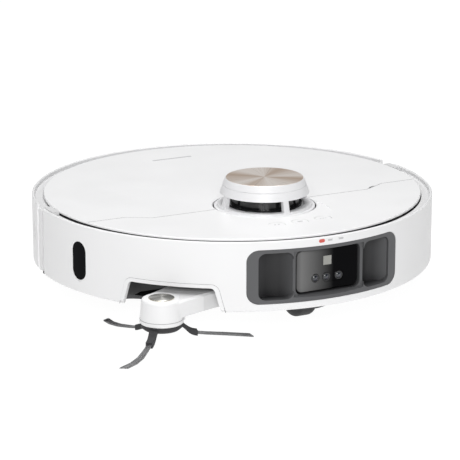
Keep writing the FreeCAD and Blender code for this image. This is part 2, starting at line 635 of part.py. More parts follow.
def bumper_shell():
    wall = turned(wall_outline(PLATE_R + GAP, WALL_IN - LIP_DEPTH), 0, 0, -BUMPER_END, BUMPER_END)
    ends = sector(PLATE_R, WALL_IN, FLANGE_Z - 1, TROUGH_Z + 1, BUMPER_END - 2, BUMPER_END + 1)
    recess = radial_prism(CAM_HALF_W, CAM_Z0, CAM_Z1, CAM_CORNER, BODY_R - 40, BODY_R + 5)
    sensor = radial_prism(WALL_SENSOR_W / 2, WALL_SENSOR_Z0, WALL_SENSOR_Z1, WALL_SENSOR_W / 2 - 0.01,
                          BODY_R - 10, BODY_R + 5, WALL_SENSOR_PSI)
    step = radial_prism(WALL_SENSOR_W / 2 + 0.9, WALL_SENSOR_Z0 - 0.9, WALL_SENSOR_Z1 + 0.9,
                        WALL_SENSOR_W / 2 + 0.85, BODY_R - 0.9, BODY_R + 5, WALL_SENSOR_PSI)
    notch = notch_prism(0.0, BODY_R - 50, BODY_R + 8)
    return wall.cut([ends, mirrored(ends), recess, sensor, step, notch]).removeSplitter()


def scoop():
    """Concave flank between the bezel's frame and the lip around the camera window."""
    outer = V(CAM_HALF_W - SCOOP_FRAME, -(BODY_R - 14.0), 0)
    middle = V(48.0, -(BODY_R - 19.0), 0)
    inner = V(OPENING_HALF_W + LIP_W, LIP_Y, 0)
    z0 = CAM_Z0 + SCOOP_EDGE
    z1 = CAM_Z1 - SCOOP_EDGE
    far = -BODY_R - 12
    arc = Part.Arc(outer, middle, inner).toShape()
    corners = [inner, V(inner.x, far, 0), V(outer.x, far, 0), outer]
    edges = [arc] + [Part.makeLine(a, b) for a, b in zip(corners, corners[1:])]
    solid = Part.Face(Part.Wire(edges)).extrude(V(0, 0, z1 - z0))
    solid.translate(V(0, 0, z0))
    window = rounded_box(inner.x, outer.x, far, -BODY_R + 40, z0, z1, 6.0, V(0, 1, 0))
    return solid.common(window)


def window_ramp():
    """Ground in front of the window's lip, sloping out to the bezel's frame below it."""
    far = -BODY_R - 6
    half = OPENING_HALF_W + LIP_W
    foot = CAM_Z0 + SCOOP_EDGE
    slope = [V(0, far, foot), V(0, -BODY_R, foot), V(0, LIP_Y, WINDOW_Z0 - 1.4)]
    slope += [V(0, LIP_Y, WINDOW_Z1 + 1.6), V(0, far, WINDOW_Z1 + 1.6)]
    wedge = Part.Face(Part.makePolygon(slope + slope[:1])).extrude(V(2 * half, 0, 0))
    wedge.translate(V(-half, 0, 0))
    return wedge


def camera_bezel():
    block = radial_prism(CAM_HALF_W - 0.25, CAM_Z0 + 0.25, CAM_Z1 - 0.25, CAM_CORNER - 0.2,
                         BODY_R - 60, BODY_R + 5)
    block = block.common(sector(BEZEL_IN, BODY_R - 0.15, CAM_Z0, CAM_Z1, -30, 30))
    opening = radial_prism(OPENING_HALF_W, WINDOW_Z0 - 1.4, WINDOW_Z1 + 1.5, 5.5, BODY_R - 60, BODY_R + 5)
    side = scoop()
    return block.cut([opening, window_ramp(), side, mirrored(side)]).removeSplitter()


def wall_sensor_window():
    block = radial_prism(WALL_SENSOR_W / 2, WALL_SENSOR_Z0, WALL_SENSOR_Z1, WALL_SENSOR_W / 2 - 0.01,
                         BODY_R - 10, BODY_R + 5, WALL_SENSOR_PSI)
    return block.common(tube(WALL_IN - 1.0, BODY_R - 0.9, 0, TOP_Z))


def notch_trim():
    ring = notch_prism(0.0, BODY_R - 20, BODY_R + 8).cut(notch_prism(-NOTCH_TRIM, BODY_R - 50, BODY_R + 9))
    ring = ring.common(turned([(BODY_R - 6, WALL_BOTTOM), (BODY_R - 2.2, WALL_BOTTOM),
                               (BODY_R + 0.5, WALL_BOTTOM + 3), (BODY_R + 0.5, TOP_Z), (BODY_R - 6, TOP_Z)]))
    return ring


# ---- lidar turret ----------------------------------------------------------------------------
def turret_base():
    """Foot of the turret, its four flared pillars, guide post and lift rod."""
    top = WINDOW_BAND_Z
    flange_in = AXLE_R + FIT
    foot_r = TURRET_CAP_R + 2.3
    base = turned([(flange_in, TURRET_FLANGE_Z), (TURRET_BASE_R, TURRET_FLANGE_Z), (TURRET_BASE_R, TOP_Z - 0.9),
                   (TURRET_BASE_R - 0.5, TOP_Z - 0.4), (foot_r + 0.6, TOP_Z - 0.4), (foot_r, top), (34.2, top),
                   (33.6, top - 1.0), (flange_in, top - 1.0)], 0, TURRET_Y)
    band = turned([(35.6, top - 0.5), (foot_r - 0.2, top - 0.5), (TURRET_CAP_R - 0.3, CAP_Z), (34.4, CAP_Z)],
                  0, TURRET_Y)
    pillars = []
    for psi in (0, 90, 180, 270):
        slab = box(-PILLAR_W / 2, PILLAR_W / 2, -45, -20, top - 0.5, CAP_Z)
        slab.rotate(ORIGIN, UP, psi)
        slab.translate(V(0, TURRET_Y, 0))
        pillars.append(slab.common(band))
    low = WELL_FLOOR - 8.0
    post = cyl(GUIDE_POST_R, low, TURRET_FLANGE_Z + 1, -GUIDE_X, GUIDE_Y)
    rod = cyl(LIFT_ROD_R, low, TURRET_FLANGE_Z + 1, GUIDE_X, GUIDE_Y)
    return fused([base, post, rod] + pillars)


def turret_cap():
    top = TURRET_TOP - 0.3
    slope = (TURRET_CAP_R - TURRET_CAP_TOP_R) / (top - CAP_Z)
    groove_z = CAP_Z + 7.0
    groove_r = TURRET_CAP_R - slope * 7.0
    outline = [(TURRET_CAP_R, CAP_Z), (groove_r + 0.1, groove_z - 0.3), (groove_r - 0.5, groove_z)]
    outline += [(groove_r - 0.1, groove_z + 0.3), (TURRET_CAP_TOP_R, top - 0.6)]
    outline += [(TURRET_CAP_TOP_R - 0.4, top), (TURRET_CAP_TOP_R - 0.7, top)]
    outline += [(TURRET_CAP_TOP_R - 0.7, top - 0.7), (0, top - 0.7), (0, top - 3.0)]
    outline += [(TURRET_CAP_TOP_R - 3.0, top - 3.0), (TURRET_CAP_R - 4.5, CAP_Z)]
    return turned(outline, 0, TURRET_Y)


def turret_disc():
    disc = cyl(TURRET_CAP_TOP_R - 0.75, TURRET_TOP - 1.0, TURRET_TOP, 0, TURRET_Y)
    return disc.makeChamfer(0.25, [e for e in disc.Edges if e.BoundBox.ZMin > TURRET_TOP - 0.1])


def lidar_rotor():
    low = WINDOW_BAND_Z - 0.4
    shaft = cyl(AXLE_R, TURRET_FLANGE_Z + 0.5, low + 1, 0, TURRET_Y)
    table = cyl(32.0, low, low + 1.4, 0, TURRET_Y)
    head = cyl(28.5, low + 1.4, CAP_Z - 0.8, 0, TURRET_Y)
    flat = box(-40, 40, TURRET_Y + 18, TURRET_Y + 40, low + 1.4, TOP_Z + 20)
    pieces = [shaft, table, head.cut(flat)]
    for psi, reach in ((-30, 30.5), (42, 29.6)):
        eye = bar_y(4.2, -reach, -20, 0, (low + CAP_Z) / 2 + 0.3)
        eye.rotate(ORIGIN, UP, psi)
        eye.translate(V(0, TURRET_Y, 0))
        pieces.append(eye)
    return fused(pieces)


# ---- lid and dust bin --------------------------------------------------------------------------
def lid():
    plate = top_plate().common(seam_plan(GAP / 2, False))
    x, y, r = SEAM_NOTCH
    notch = cyl(r, PLATE_Z - 1, TOP_Z + 1, x, y)
    return plate.cut([turret_hole(), notch])


def bin_body():
    outer = rounded_box(-BIN_HALF, BIN_HALF, BIN_Y0, BIN_Y1, BIN_Z0, BIN_TOP - 2, 5)
    inner = rounded_box(-BIN_HALF + 2, BIN_HALF - 2, BIN_Y0 + 2, BIN_Y1 - 2, BIN_Z0 + 2, BIN_TOP, 3.5)
    inlet = box(2 - DUCT_HALF, DUCT_HALF - 2, BIN_Y0 - 1, BIN_Y0 + 3, DUCT_Z + 0.5, DUCT_Z + DUCT_T - 0.5)
    outlet = box(2 - OUTLET_HALF, OUTLET_HALF - 2, BIN_Y1 - 3, BIN_Y1 + 1, DUCT_Z + 1, DUCT_Z + OUTLET_T - 1)
    return outer.cut([inner, inlet, outlet])


def bin_cover():
    plate = rounded_box(-BIN_HALF, BIN_HALF, BIN_Y0, BIN_Y1, BIN_TOP - 2, BIN_TOP, 5)
    grip = rounded_box(-20, 20, 24, 44, BIN_TOP - 1.2, BIN_TOP + 1, 6)
    return plate.cut(grip)


def dust_filter():
    frame = box(-30, 30, BIN_Y1 - 12, BIN_Y1 - 2, BIN_Z0 + 2, BIN_Z0 + 32)
    pleats = [box(x, x + 2, BIN_Y1 - 13, BIN_Y1 - 9, BIN_Z0 + 4, BIN_Z0 + 30) for x in range(-27, 27, 4)]
    return frame.cut(pleats)


# ---- side brush arm ------------------------------------------------------------------------------
def arm_outline():
    """Plan of the arm, from two points on the hub round to the pivot's boss."""
    hub_side = [(HUB_X - 9.6, HUB_Y + 13.1), (HUB_X + 5.6, HUB_Y - 15.5)]
    front = [(PIVOT_X - 14.0, PIVOT_Y - 9.4), (PIVOT_X - 4.0, PIVOT_Y - 7.4)]
    rear = [(PIVOT_X + 7.6, PIVOT_Y + 3.4), (PIVOT_X - 6.0, PIVOT_Y + 20.0)]
    rear.append((PIVOT_X - 38.0, PIVOT_Y + 24.8))
    return hub_side + front + rear


def hub_radius(z):
    return HUB_R + (HUB_TOP_R - HUB_R) * (z - HUB_BOTTOM) / (HUB_TOP - HUB_BOTTOM)


def arm_shell():
    hub = turned([(0, HUB_SEAM), (hub_radius(HUB_SEAM), HUB_SEAM), (HUB_TOP_R, HUB_TOP - 1.8),
                  (HUB_TOP_R - 0.6, HUB_TOP - 0.6), (HUB_TOP_R - 1.9, HUB_TOP), (0, HUB_TOP)], HUB_X, HUB_Y)
    beam = plan_prism(arm_outline(), ARM_BOTTOM, ARM_TOP)
    upper = [e for e in beam.Edges if e.BoundBox.ZMin > ARM_TOP - 0.1]
    beam = beam.makeChamfer(1.6, upper)
    pivot = cyl(PIVOT_BOSS_R, ARM_BOTTOM, ARM_TOP + 4, PIVOT_X, PIVOT_Y)
    shell = fused([hub, beam, pivot])
    motor = cyl(MOTOR_R, HUB_SEAM - 1, HUB_TOP - 4, HUB_X, HUB_Y)
    bore = cyl(PIVOT_R + FIT, 0, TOP_Z, PIVOT_X, PIVOT_Y)
    seat = cyl(CAP_R + 0.2, HUB_TOP - 1.0, HUB_TOP + 1, HUB_X, HUB_Y)
    return shell.cut([motor, bore, seat])


def arm_cover():
    ring = turned([(9.0, HUB_BOTTOM), (HUB_R - 0.8, HUB_BOTTOM), (HUB_R, HUB_BOTTOM + 0.8),
                   (hub_radius(HUB_SEAM) + 0.1, HUB_SEAM), (9.0, HUB_SEAM)], HUB_X, HUB_Y)
    tab = box(HUB_R - 3.0, HUB_R + 1.4, -2.6, 2.6, HUB_BOTTOM + 0.6, HUB_SEAM)
    tab.rotate(ORIGIN, UP, -8)
    tab.translate(V(HUB_X, HUB_Y, 0))
    return ring.fuse(tab).removeSplitter()


def arm_cap():
    z = HUB_TOP - 1.0
    outline = [(0, z), (CAP_R, z), (CAP_R, z + 1.4), (CAP_R - 0.8, z + 1.75), (6.0, z + 2.0), (0, z + 2.1)]
    return turned(outline, HUB_X, HUB_Y)


def side_brush_motor():
    can = cyl(MOTOR_R, HUB_SEAM, HUB_TOP - 4, HUB_X, HUB_Y)
    return can.cut(cyl(MOTOR_SHAFT_R + FIT, HUB_SEAM - 1, HUB_SEAM + 9, HUB_X, HUB_Y))


def side_brush_disc():
    low = HUB_BOTTOM - 5.4
    top = HUB_BOTTOM - 0.4
    rim = HUB_R - 1.2
    disc = turned([(0, low), (rim - 2.4, low), (rim, low + 2.0), (rim, top), (0, top)], HUB_X, HUB_Y)
    shaft = cyl(MOTOR_SHAFT_R, HUB_BOTTOM - 1, HUB_SEAM + 8, HUB_X, HUB_Y)
    return disc.fuse(shaft).removeSplitter()


def lofted_arm(sections, angle):
    """Flat bundle through (radius, side shift, height, width, thickness) sections."""
    wires = []
    for r, shift, z, width, thick in sections:
        w = width / 2
        t = thick / 2
        corners = [V(r, shift - w, z - t), V(r, shift + w, z - t), V(r, shift + w, z + t), V(r, shift - w, z + t)]
        wires.append(Part.makePolygon(corners + corners[:1]))
    solid = Part.makeLoft(wires, True, False)
    solid.rotate(ORIGIN, UP, angle)
    solid.translate(V(HUB_X, HUB_Y, 0))
    return solid


def side_brush_sleeves():
    """Rubber sleeves that droop from the disc and grow thicker towards the bristles."""
    root = HUB_BOTTOM - 2.8
    sections = [(12.0, 0.0, root, 6.6, 2.6), (17.2, 0.0, root - 0.6, 6.8, 3.0), (20.0, 0.2, root - 3.0, 6.6, 3.8)]
    sections += [(24.0, 0.6, 8.0, 6.2, 4.4), (SLEEVE_R, 1.0, 6.2, 5.8, 4.6)]
    return Part.makeCompound([lofted_arm(sections, angle) for angle in BRUSH_ARM_ANGLES])


def side_brush_bristles():
    start = SLEEVE_R - 3.0
    sections = [(start, 0.8, 6.4, 4.4, 2.0), (38.0, 1.8, 4.6, 5.0, 2.2), (52.0, 2.8, 2.8, 6.0, 2.0)]
    sections += [(64.0, 1.6, 1.6, 6.8, 1.8), (SIDE_BRUSH_R, -1.6, 1.2, 7.6, 1.6)]
    return Part.makeCompound([lofted_arm(sections, angle) for angle in BRUSH_ARM_ANGLES])


# ---- main brush -----------------------------------------------------------------------------------
def brush_core():
    core = bar_x(BRUSH_CORE_R, -BRUSH_HALF, BRUSH_HALF, BRUSH_Y, BRUSH_Z)
    pins = bar_x(BRUSH_PIN_R, -CHAMBER_HALF - 1.5, CHAMBER_HALF + 1.5, BRUSH_Y, BRUSH_Z)
    return core.fuse(pins).removeSplitter()


def brush_blade(start):
    """Chevron rubber fin: straight from each end to a point at mid length."""
    wires = []
    for x, turn in ((-BRUSH_HALF, 0.0), (0.0, 34.0), (BRUSH_HALF, 0.0)):
        wire = []
        root = BRUSH_CORE_R - 0.6
        for radius, side in ((root, -1.3), (BRUSH_R, -0.8), (BRUSH_R, 0.8), (root, 1.3)):
            angle = math.radians(start + turn)
            y = radius * math.cos(angle) - side * math.sin(angle)
            z = radius * math.sin(angle) + side * math.cos(angle)
            wire.append(V(x, BRUSH_Y + y, BRUSH_Z + z))
        wires.append(Part.makePolygon(wire + wire[:1]))
    return Part.makeLoft(wires, True, True)


def brush_blades():
    core = bar_x(BRUSH_CORE_R, -BRUSH_HALF, BRUSH_HALF, BRUSH_Y, BRUSH_Z)
    return Part.makeCompound([brush_blade(60.0 * step).cut(core) for step in range(6)])


# ---- drive wheels -----------------------------------------------------------------------------------
def wheel_arm():
    """Gearbox between the suspension pivot and the wheel, with the wheel's axle."""
    x0 = WELL_X0 + 1.5
    x1 = WHEEL_X - WHEEL_W / 2 - 1.5
    rear = bar_x(10.0, x0, x1, SUSPENSION_Y, WHEEL_R)
    front = bar_x(20.0, x0, x1, 0, WHEEL_R)
    web = box(x0, x1, 0, SUSPENSION_Y, WHEEL_R - 9, WHEEL_R + 9)
    motor = bar_x(13.0, x0, x1 + 1.0, 0, WHEEL_R)
    axle = bar_x(AXLE_R, x1, WHEEL_X + WHEEL_W / 2 - 2, 0, WHEEL_R)
    bore = bar_x(AXLE_R + FIT, 0, x1 + 5, SUSPENSION_Y, WHEEL_R)
    return fused([rear, front, web, motor, axle]).cut(bore)


def wheel_hub():
    x0 = WHEEL_X - WHEEL_W / 2 + 0.5
    x1 = WHEEL_X + WHEEL_W / 2 - 0.5
    rim = bar_x(WHEEL_RIM_R, x0, x1, 0, WHEEL_R).cut(bar_x(WHEEL_RIM_R - 3, x0 - 1, x1 + 1, 0, WHEEL_R))
    boss = bar_x(8.0, x0, x1, 0, WHEEL_R)
    plate = bar_x(WHEEL_RIM_R - 2, x1 - 5, x1 - 2, 0, WHEEL_R)
    bore = bar_x(AXLE_R + FIT, x0 - 1, x1 - 1.0, 0, WHEEL_R)
    return fused([rim, boss, plate]).cut(bore)


def tyre():
    x0 = WHEEL_X - WHEEL_W / 2
    x1 = WHEEL_X + WHEEL_W / 2
    ring = bar_x(WHEEL_R, x0, x1, 0, WHEEL_R)
    ring = ring.makeFillet(1.5, [e for e in ring.Edges if isinstance(e.Curve, Part.Circle)])
    ring = ring.cut(bar_x(WHEEL_RIM_R, x0 - 1, x1 + 1, 0, WHEEL_R))
    grooves = []
    for step in range(20):
        groove = box(x0 - 1, x1 + 1, -1.2, 1.2, WHEEL_R - 2.0, WHEEL_R + 3.0)
        groove.rotate(ORIGIN, V(1, 0, 0), 18.0 * step + 9.0)
        groove.translate(V(0, 0, WHEEL_R))
        grooves.append(groove)
    return ring.cut(grooves)


# ---- caster -----------------------------------------------------------------------------------------
def caster_fork():
    y = CASTER_Y - CASTER_TRAIL
    roof_z = CASTER_R * 2 + 1.5
    roof = cyl(SWIVEL_R, roof_z, CASTER_TOP - 0.5, 0, CASTER_Y)
    stem = cyl(AXLE_R, CASTER_TOP - 1, CASTER_TOP + 13, 0, CASTER_Y)
    inner = CASTER_W / 2 + 1.0
    cheek = box(inner, inner + 4.0, y - 11, y + 13, BASE_Z + 1, roof_z)
    cheek = cheek.common(cyl(SWIVEL_R, 0, TOP_Z, 0, CASTER_Y))
    axle = bar_x(CASTER_PIN_R, -inner - 3.5, inner + 3.5, y, CASTER_R)
    return fused([roof, stem, cheek, mirrored(cheek), axle])


def caster_wheel():
    """Roller with well rounded edges."""
    y = CASTER_Y - CASTER_TRAIL
    roller = bar_x(CASTER_R, -CASTER_W / 2, CASTER_W / 2, y, CASTER_R)
    roller = roller.makeFillet(CASTER_EDGE, [e for e in roller.Edges if isinstance(e.Curve, Part.Circle)])
    return roller.cut(bar_x(CASTER_PIN_R + FIT, -CASTER_W, CASTER_W, y, CASTER_R))


# ---- mops ---------------------------------------------------------------------------------------------
def mop_gearbox():
    low = MOP_ROOF + 4
    body = cyl(MOP_GEAR_R, low, low + MOP_GEAR_H, MOP_X, MOP_Y)
    return body.cut(cyl(MOP_SHAFT_R + FIT, low - 1, low + 16, MOP_X, MOP_Y))


def mop_holder():
    z = MOP_HOLDER_Z
    disc = cyl(MOP_R - 3, z, z + MOP_HOLDER_T, MOP_X, MOP_Y)
    disc = disc.makeFillet(1.2, [e for e in disc.Edges if e.BoundBox.ZMin > z + 1])
    shaft = cyl(MOP_SHAFT_R, z, MOP_ROOF + 19, MOP_X, MOP_Y)
    return disc.fuse(shaft).removeSplitter()


def mop_pad():
    pad = cyl(MOP_R, MOP_LIFT, MOP_HOLDER_Z, MOP_X, MOP_Y)
    return pad.makeFillet(1.2, pad.Edges)


def export_all():
    os.makedirs("parts", exist_ok=True)
    parts = {
        "chassis_base": chassis_base(),
        "wheel_wells": wheel_wells(),
        "bin_tray": bin_tray(),
        "arm_bay": arm_bay(),
        "rear_shell": rear_shell(),
        "front_deck": front_deck(),
        "turret_lift": turret_lift(),
        "camera_housing": camera_housing(),
        "camera_window": camera_window(),
        "rgb_camera_lens": lens(LENS_X[1]),
        "depth_camera_lenses": Part.makeCompound([lens(LENS_X[0]), lens(LENS_X[2])]),
        "fill_light_window": fill_light_window(),
        "brush_chamber": brush_chamber(),
        "brush_guard": brush_guard(),
        "main_brush_drive": main_brush_drive(),
        "suction_fan": suction_fan(),
        "battery_pack": battery_pack(),
        "main_circuit_board": main_circuit_board(),
        "charging_contacts": charging_contacts(),
        "dock_window": dock_window(),
        "cliff_sensors": cliff_sensors(),
        "chassis_screws": chassis_screws(),
        "bumper_shell": bumper_shell(),
        "camera_bezel": camera_bezel(),
        "wall_sensor_window": wall_sensor_window(),
        "notch_trim": notch_trim(),
        "turret_base": turret_base(),
        "turret_cap": turret_cap(),
        "turret_disc": turret_disc(),
        "lidar_rotor": lidar_rotor(),
        "lid": lid(),
        "bin_body": bin_body(),
        "bin_cover": bin_cover(),
        "dust_filter": dust_filter(),
        "arm_shell": arm_shell(),
        "arm_cover": arm_cover(),
        "arm_cap": arm_cap(),
        "side_brush_motor": side_brush_motor(),
        "side_brush_disc": side_brush_disc(),
        "side_brush_sleeves": side_brush_sleeves(),
        "side_brush_bristles": side_brush_bristles(),
        "brush_core": brush_core(),
        "brush_blades": brush_blades(),
        "caster_fork": caster_fork(),
        "caster_wheel": caster_wheel(),
    }
    for name, x in zip(("right", "middle", "left"), button_places()):
        parts["button_" + name] = button(x)
    pairs = {"wheel_arm": wheel_arm(), "wheel_hub": wheel_hub(), "tyre": tyre()}
    pairs.update({"mop_gearbox": mop_gearbox(), "mop_holder": mop_holder(), "mop_pad": mop_pad()})
    for name, shape in pairs.items():
        parts[name + "_right"] = mirrored(shape)
        parts[name + "_left"] = shape
    for name, shape in parts.items():
        shape.exportStep("parts/" + name + ".step")


export_all()
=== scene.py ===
import bpy
import bmesh
import json
import math
import random
from mathutils import Matrix, Vector


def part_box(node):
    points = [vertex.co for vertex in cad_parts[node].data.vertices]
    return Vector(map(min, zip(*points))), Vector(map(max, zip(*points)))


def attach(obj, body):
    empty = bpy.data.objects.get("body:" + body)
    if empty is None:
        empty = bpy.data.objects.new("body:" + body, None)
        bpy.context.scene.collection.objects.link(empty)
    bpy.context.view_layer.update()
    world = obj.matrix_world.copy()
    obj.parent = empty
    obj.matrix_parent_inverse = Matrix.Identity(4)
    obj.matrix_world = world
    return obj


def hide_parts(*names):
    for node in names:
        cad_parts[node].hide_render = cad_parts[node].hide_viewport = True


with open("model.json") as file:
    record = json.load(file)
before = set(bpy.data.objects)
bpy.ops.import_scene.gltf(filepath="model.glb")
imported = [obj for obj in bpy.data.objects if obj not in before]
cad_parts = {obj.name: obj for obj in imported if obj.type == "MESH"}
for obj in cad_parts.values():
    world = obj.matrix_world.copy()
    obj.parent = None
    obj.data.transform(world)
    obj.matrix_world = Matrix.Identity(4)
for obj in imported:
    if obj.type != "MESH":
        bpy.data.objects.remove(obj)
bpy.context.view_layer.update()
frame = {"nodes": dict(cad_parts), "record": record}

nodes = frame["nodes"]
MM = 0.001
BODY_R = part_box("rear_shell")[1].y
WALL_INNER_R = BODY_R - 3.0 * MM


# ---- camera ------------------------------------------------------------------------
CAM_AZIMUTH = -27.46
CAM_ELEVATION = 15.442
CAM_DISTANCE = 2.050
CAM_TARGET = Vector((-0.0016, 0.0008, 0.0441))
CAM_LENS = 182.02


def add_camera():
    azimuth = math.radians(CAM_AZIMUTH)
    elevation = math.radians(CAM_ELEVATION)
    back = Vector((math.sin(azimuth) * math.cos(elevation),
                   -math.cos(azimuth) * math.cos(elevation),
                   math.sin(elevation)))
    data = bpy.data.cameras.new("camera")
    data.lens = CAM_LENS
    data.sensor_width = 36.0
    data.clip_start = 0.1
    data.clip_end = 50.0
    camera = bpy.data.objects.new("camera", data)
    bpy.context.scene.collection.objects.link(camera)
    camera.location = CAM_TARGET + back * CAM_DISTANCE
    camera.rotation_euler = back.to_track_quat("Z", "Y").to_euler()
    bpy.context.scene.camera = camera


# ---- seams and small parts of the wall and the top ---------------------------------
NOTCH_PSI = -44.3
NOTCH_TOP_HALF = 39.4 * MM
NOTCH_FOOT_HALF = 45.6 * MM
NOTCH_TOP = 46.2 * MM
NOTCH_FOOT_Z = 22.5 * MM
NOTCH_CORNER = 7.0 * MM
NOTCH_CORNER_STEPS = 6
NOTCH_STEP = 4 * MM         # longest straight run of the line across the curved wall
NOTCH_LINE_R = 0.19 * MM
NOTCH_LINE_SINK = 0.02 * MM
SEAM_MID_Y = -57.0 * MM
SEAM_SIDE_Y = -45.0 * MM
SEAM_BEND_X = (104.0 * MM, 126.0 * MM)
# Painted shade in the seam between the deck and the lid: a thin black strip just under the seam's top.
SHADE_STRIP_HALF = 0.24
SHADE_STRIP_SINK = 0.03 * MM
SHADE_STRIP_DEPTH = 1.6 * MM
SHADE_STRIP_FROM_TURRET = 3.0 * MM
SHADE_STRIP_FROM_EDGE = 7.0 * MM
VENT_PSI = (101.2, 107.5)
VENT_Z = (44 * MM, 66 * MM)
VENT_BACK = 3.6 * MM        # inner face of the dark sheet, in from the wall's outside
VENT_THICK = 0.8 * MM
STOP_PSI = (95.5, 96.8)
STOP_Z = (22.8 * MM, 24.6 * MM)
STOP_BACK = (4.3 * MM, 1.6 * MM)


# ---- materials ---------------------------------------------------------------------
class Graph:
    """A principled material with short calls for the nodes in front of it."""

    def __init__(self, name):
        self.material = bpy.data.materials.new(name)
        self.material.use_nodes = True
        self.tree = self.material.node_tree
        self.shader = self.tree.nodes["Principled BSDF"]
        self.coords = self.add("ShaderNodeTexCoord").outputs["Object"]

    def add(self, kind, **values):
        node = self.tree.nodes.new(kind)
        for key, value in values.items():
            if hasattr(node, key):
                setattr(node, key, value)
            else:
                node.inputs[key].default_value = value
        return node

    def link(self, source, target):
        self.tree.links.new(source, target)

    def noise(self, scale, detail=4.0, stretch=(1, 1, 1), rough=0.5):
        mapping = self.add("ShaderNodeMapping")
        mapping.inputs["Scale"].default_value = stretch
        self.link(self.coords, mapping.inputs["Vector"])
        node = self.add("ShaderNodeTexNoise")
        node.inputs["Scale"].default_value = scale
        node.inputs["Detail"].default_value = detail
        node.inputs["Roughness"].default_value = rough
        self.link(mapping.outputs["Vector"], node.inputs["Vector"])
        return node.outputs["Fac"]

    def ramp(self, source, low, high, start=0.3, end=0.7):
        node = self.add("ShaderNodeMapRange")
        node.inputs["From Min"].default_value = start
        node.inputs["From Max"].default_value = end
        node.inputs["To Min"].default_value = low
        node.inputs["To Max"].default_value = high
        self.link(source, node.inputs["Value"])
        return node.outputs["Result"]

    def band(self, axis, start, peak, end):
        """0 to 1 and back along one object axis."""
        split = self.add("ShaderNodeSeparateXYZ")
        self.link(self.coords, split.inputs["Vector"])
        rise = self.ramp(split.outputs[axis], 0.0, 1.0, start, peak)
        fall = self.ramp(split.outputs[axis], 1.0, 0.0, peak, end)
        both = self.add("ShaderNodeMath", operation="MULTIPLY")
        self.link(rise, both.inputs[0])
        self.link(fall, both.inputs[1])
        return both.outputs["Value"]

    def outwards(self, inner_r, outer_r):
        """0 inside inner_r and 1 beyond outer_r, measured from the body's own axis."""
        flat = self.add("ShaderNodeVectorMath", operation="MULTIPLY")
        flat.inputs[1].default_value = (1.0, 1.0, 0.0)
        self.link(self.coords, flat.inputs[0])
        reach = self.add("ShaderNodeVectorMath", operation="LENGTH")
        self.link(flat.outputs["Vector"], reach.inputs[0])
        return self.ramp(reach.outputs["Value"], 0.0, 1.0, inner_r, outer_r)

    def mix(self, factor, first, second):
        node = self.add("ShaderNodeMix", data_type="RGBA")
        self.link(factor, node.inputs[0])
        for socket, colour in ((node.inputs[6], first), (node.inputs[7], second)):
            if isinstance(colour, tuple):
                socket.default_value = (*colour, 1.0)
            else:
                self.link(colour, socket)
        return node.outputs[2]

    def bump(self, height, strength, distance, after=None):
        node = self.add("ShaderNodeBump")
        node.inputs["Strength"].default_value = strength
        node.inputs["Distance"].default_value = distance
        self.link(height, node.inputs["Height"])
        if after is not None:
            self.link(after, node.inputs["Normal"])
        return node.outputs["Normal"]

    def set(self, **values):
        for key, value in values.items():
            socket = self.shader.inputs[key.replace("_", " ")]
            if isinstance(value, (int, float)):
                socket.default_value = value
            elif isinstance(value, tuple):
                socket.default_value = (*value, 1.0)
            else:
                self.link(value, socket)
        return self


def shade(colour, factor):
    return tuple(min(1.0, c * factor) for c in colour)


def moulded(name, colour, rough, grain, grain_size, spread, wear, coat=0.0, inside_shade=1.0):
    """Moulded plastic: fine surface grain, uneven gloss, faint tone drift and rubbed edges.

    The last argument is painted shade: the tone of what lies within the outer wall, darker there because less
    light reaches it.
    """
    g = Graph(name)
    drift = g.noise(9.0, 3.0)
    fine = g.noise(1.0 / (grain_size * MM), 5.0, rough=0.6)
    smear = g.noise(26.0, 3.0, (1, 1, 3))
    tone = g.mix(g.ramp(drift, 0.0, 1.0), shade(colour, 1.0 - spread), shade(colour, 1.0 + spread / 2))
    if wear > 1.0:
        edge = g.ramp(g.add("ShaderNodeNewGeometry").outputs["Pointiness"], 0.0, 1.0, 0.52, 0.60)
        tone = g.mix(edge, tone, shade(colour, wear))
    # painted shade: darker within the outer wall's inner radius, in the trough round the top
    if inside_shade < 1.0:
        tone = g.mix(g.outwards(WALL_INNER_R, WALL_INNER_R + 1.0 * MM), shade(colour, inside_shade), tone)
    g.set(Base_Color=tone, Roughness=g.ramp(smear, rough - 0.03, rough + 0.04))
    g.set(Normal=g.bump(fine, grain, 0.00005))
    if coat:
        g.set(Coat_Weight=coat, Coat_Roughness=0.12)
    return g.material


def polished(name, colour, rough=0.05, painted_reflection=None):
    """Glossy dark window: near-black with faint haze, dust specks and an optional painted reflection, a soft
    lighter band along X.
    """
    g = Graph(name)
    haze = g.noise(120.0, 4.0)
    dust = g.noise(2600.0, 2.0)
    base = colour
    # painted reflection: a lighter band along X mixed into the base colour
    if painted_reflection is not None:
        base = g.mix(g.band(0, *painted_reflection[1:]), colour, painted_reflection[0])
    specks = g.ramp(dust, 0.0, 0.5, 0.76, 0.82)
    g.set(Base_Color=g.mix(specks, base, (0.05, 0.05, 0.052)))
    g.set(Roughness=g.ramp(haze, rough, rough + 0.05), Specular_IOR_Level=0.12, IOR=1.2)
    g.set(Normal=g.bump(haze, 0.02, 0.0002))
    return g.material


def recessed(name, colour, recess_shade, rough, inner_r, outer_r):
    """Moulded bezel with painted shade: a darker tone where it falls back from the outer wall, into the
    recesses.
    """
    g = Graph(name)
    out = g.outwards(inner_r, outer_r)
    fine = g.noise(2600.0, 5.0, rough=0.6)
    drift = g.noise(14.0, 3.0)
    # painted shade: darker towards the back of the recesses, fading out towards the outer wall
    tone = g.mix(out, recess_shade, colour)
    tone = g.mix(g.ramp(drift, 0.0, 0.35), tone, shade(colour, 0.8))
    g.set(Base_Color=tone, Roughness=g.ramp(g.noise(60.0), rough - 0.04, rough + 0.06))
    g.set(Normal=g.bump(fine, 0.12, 0.00008), Specular_IOR_Level=0.3)
    return g.material


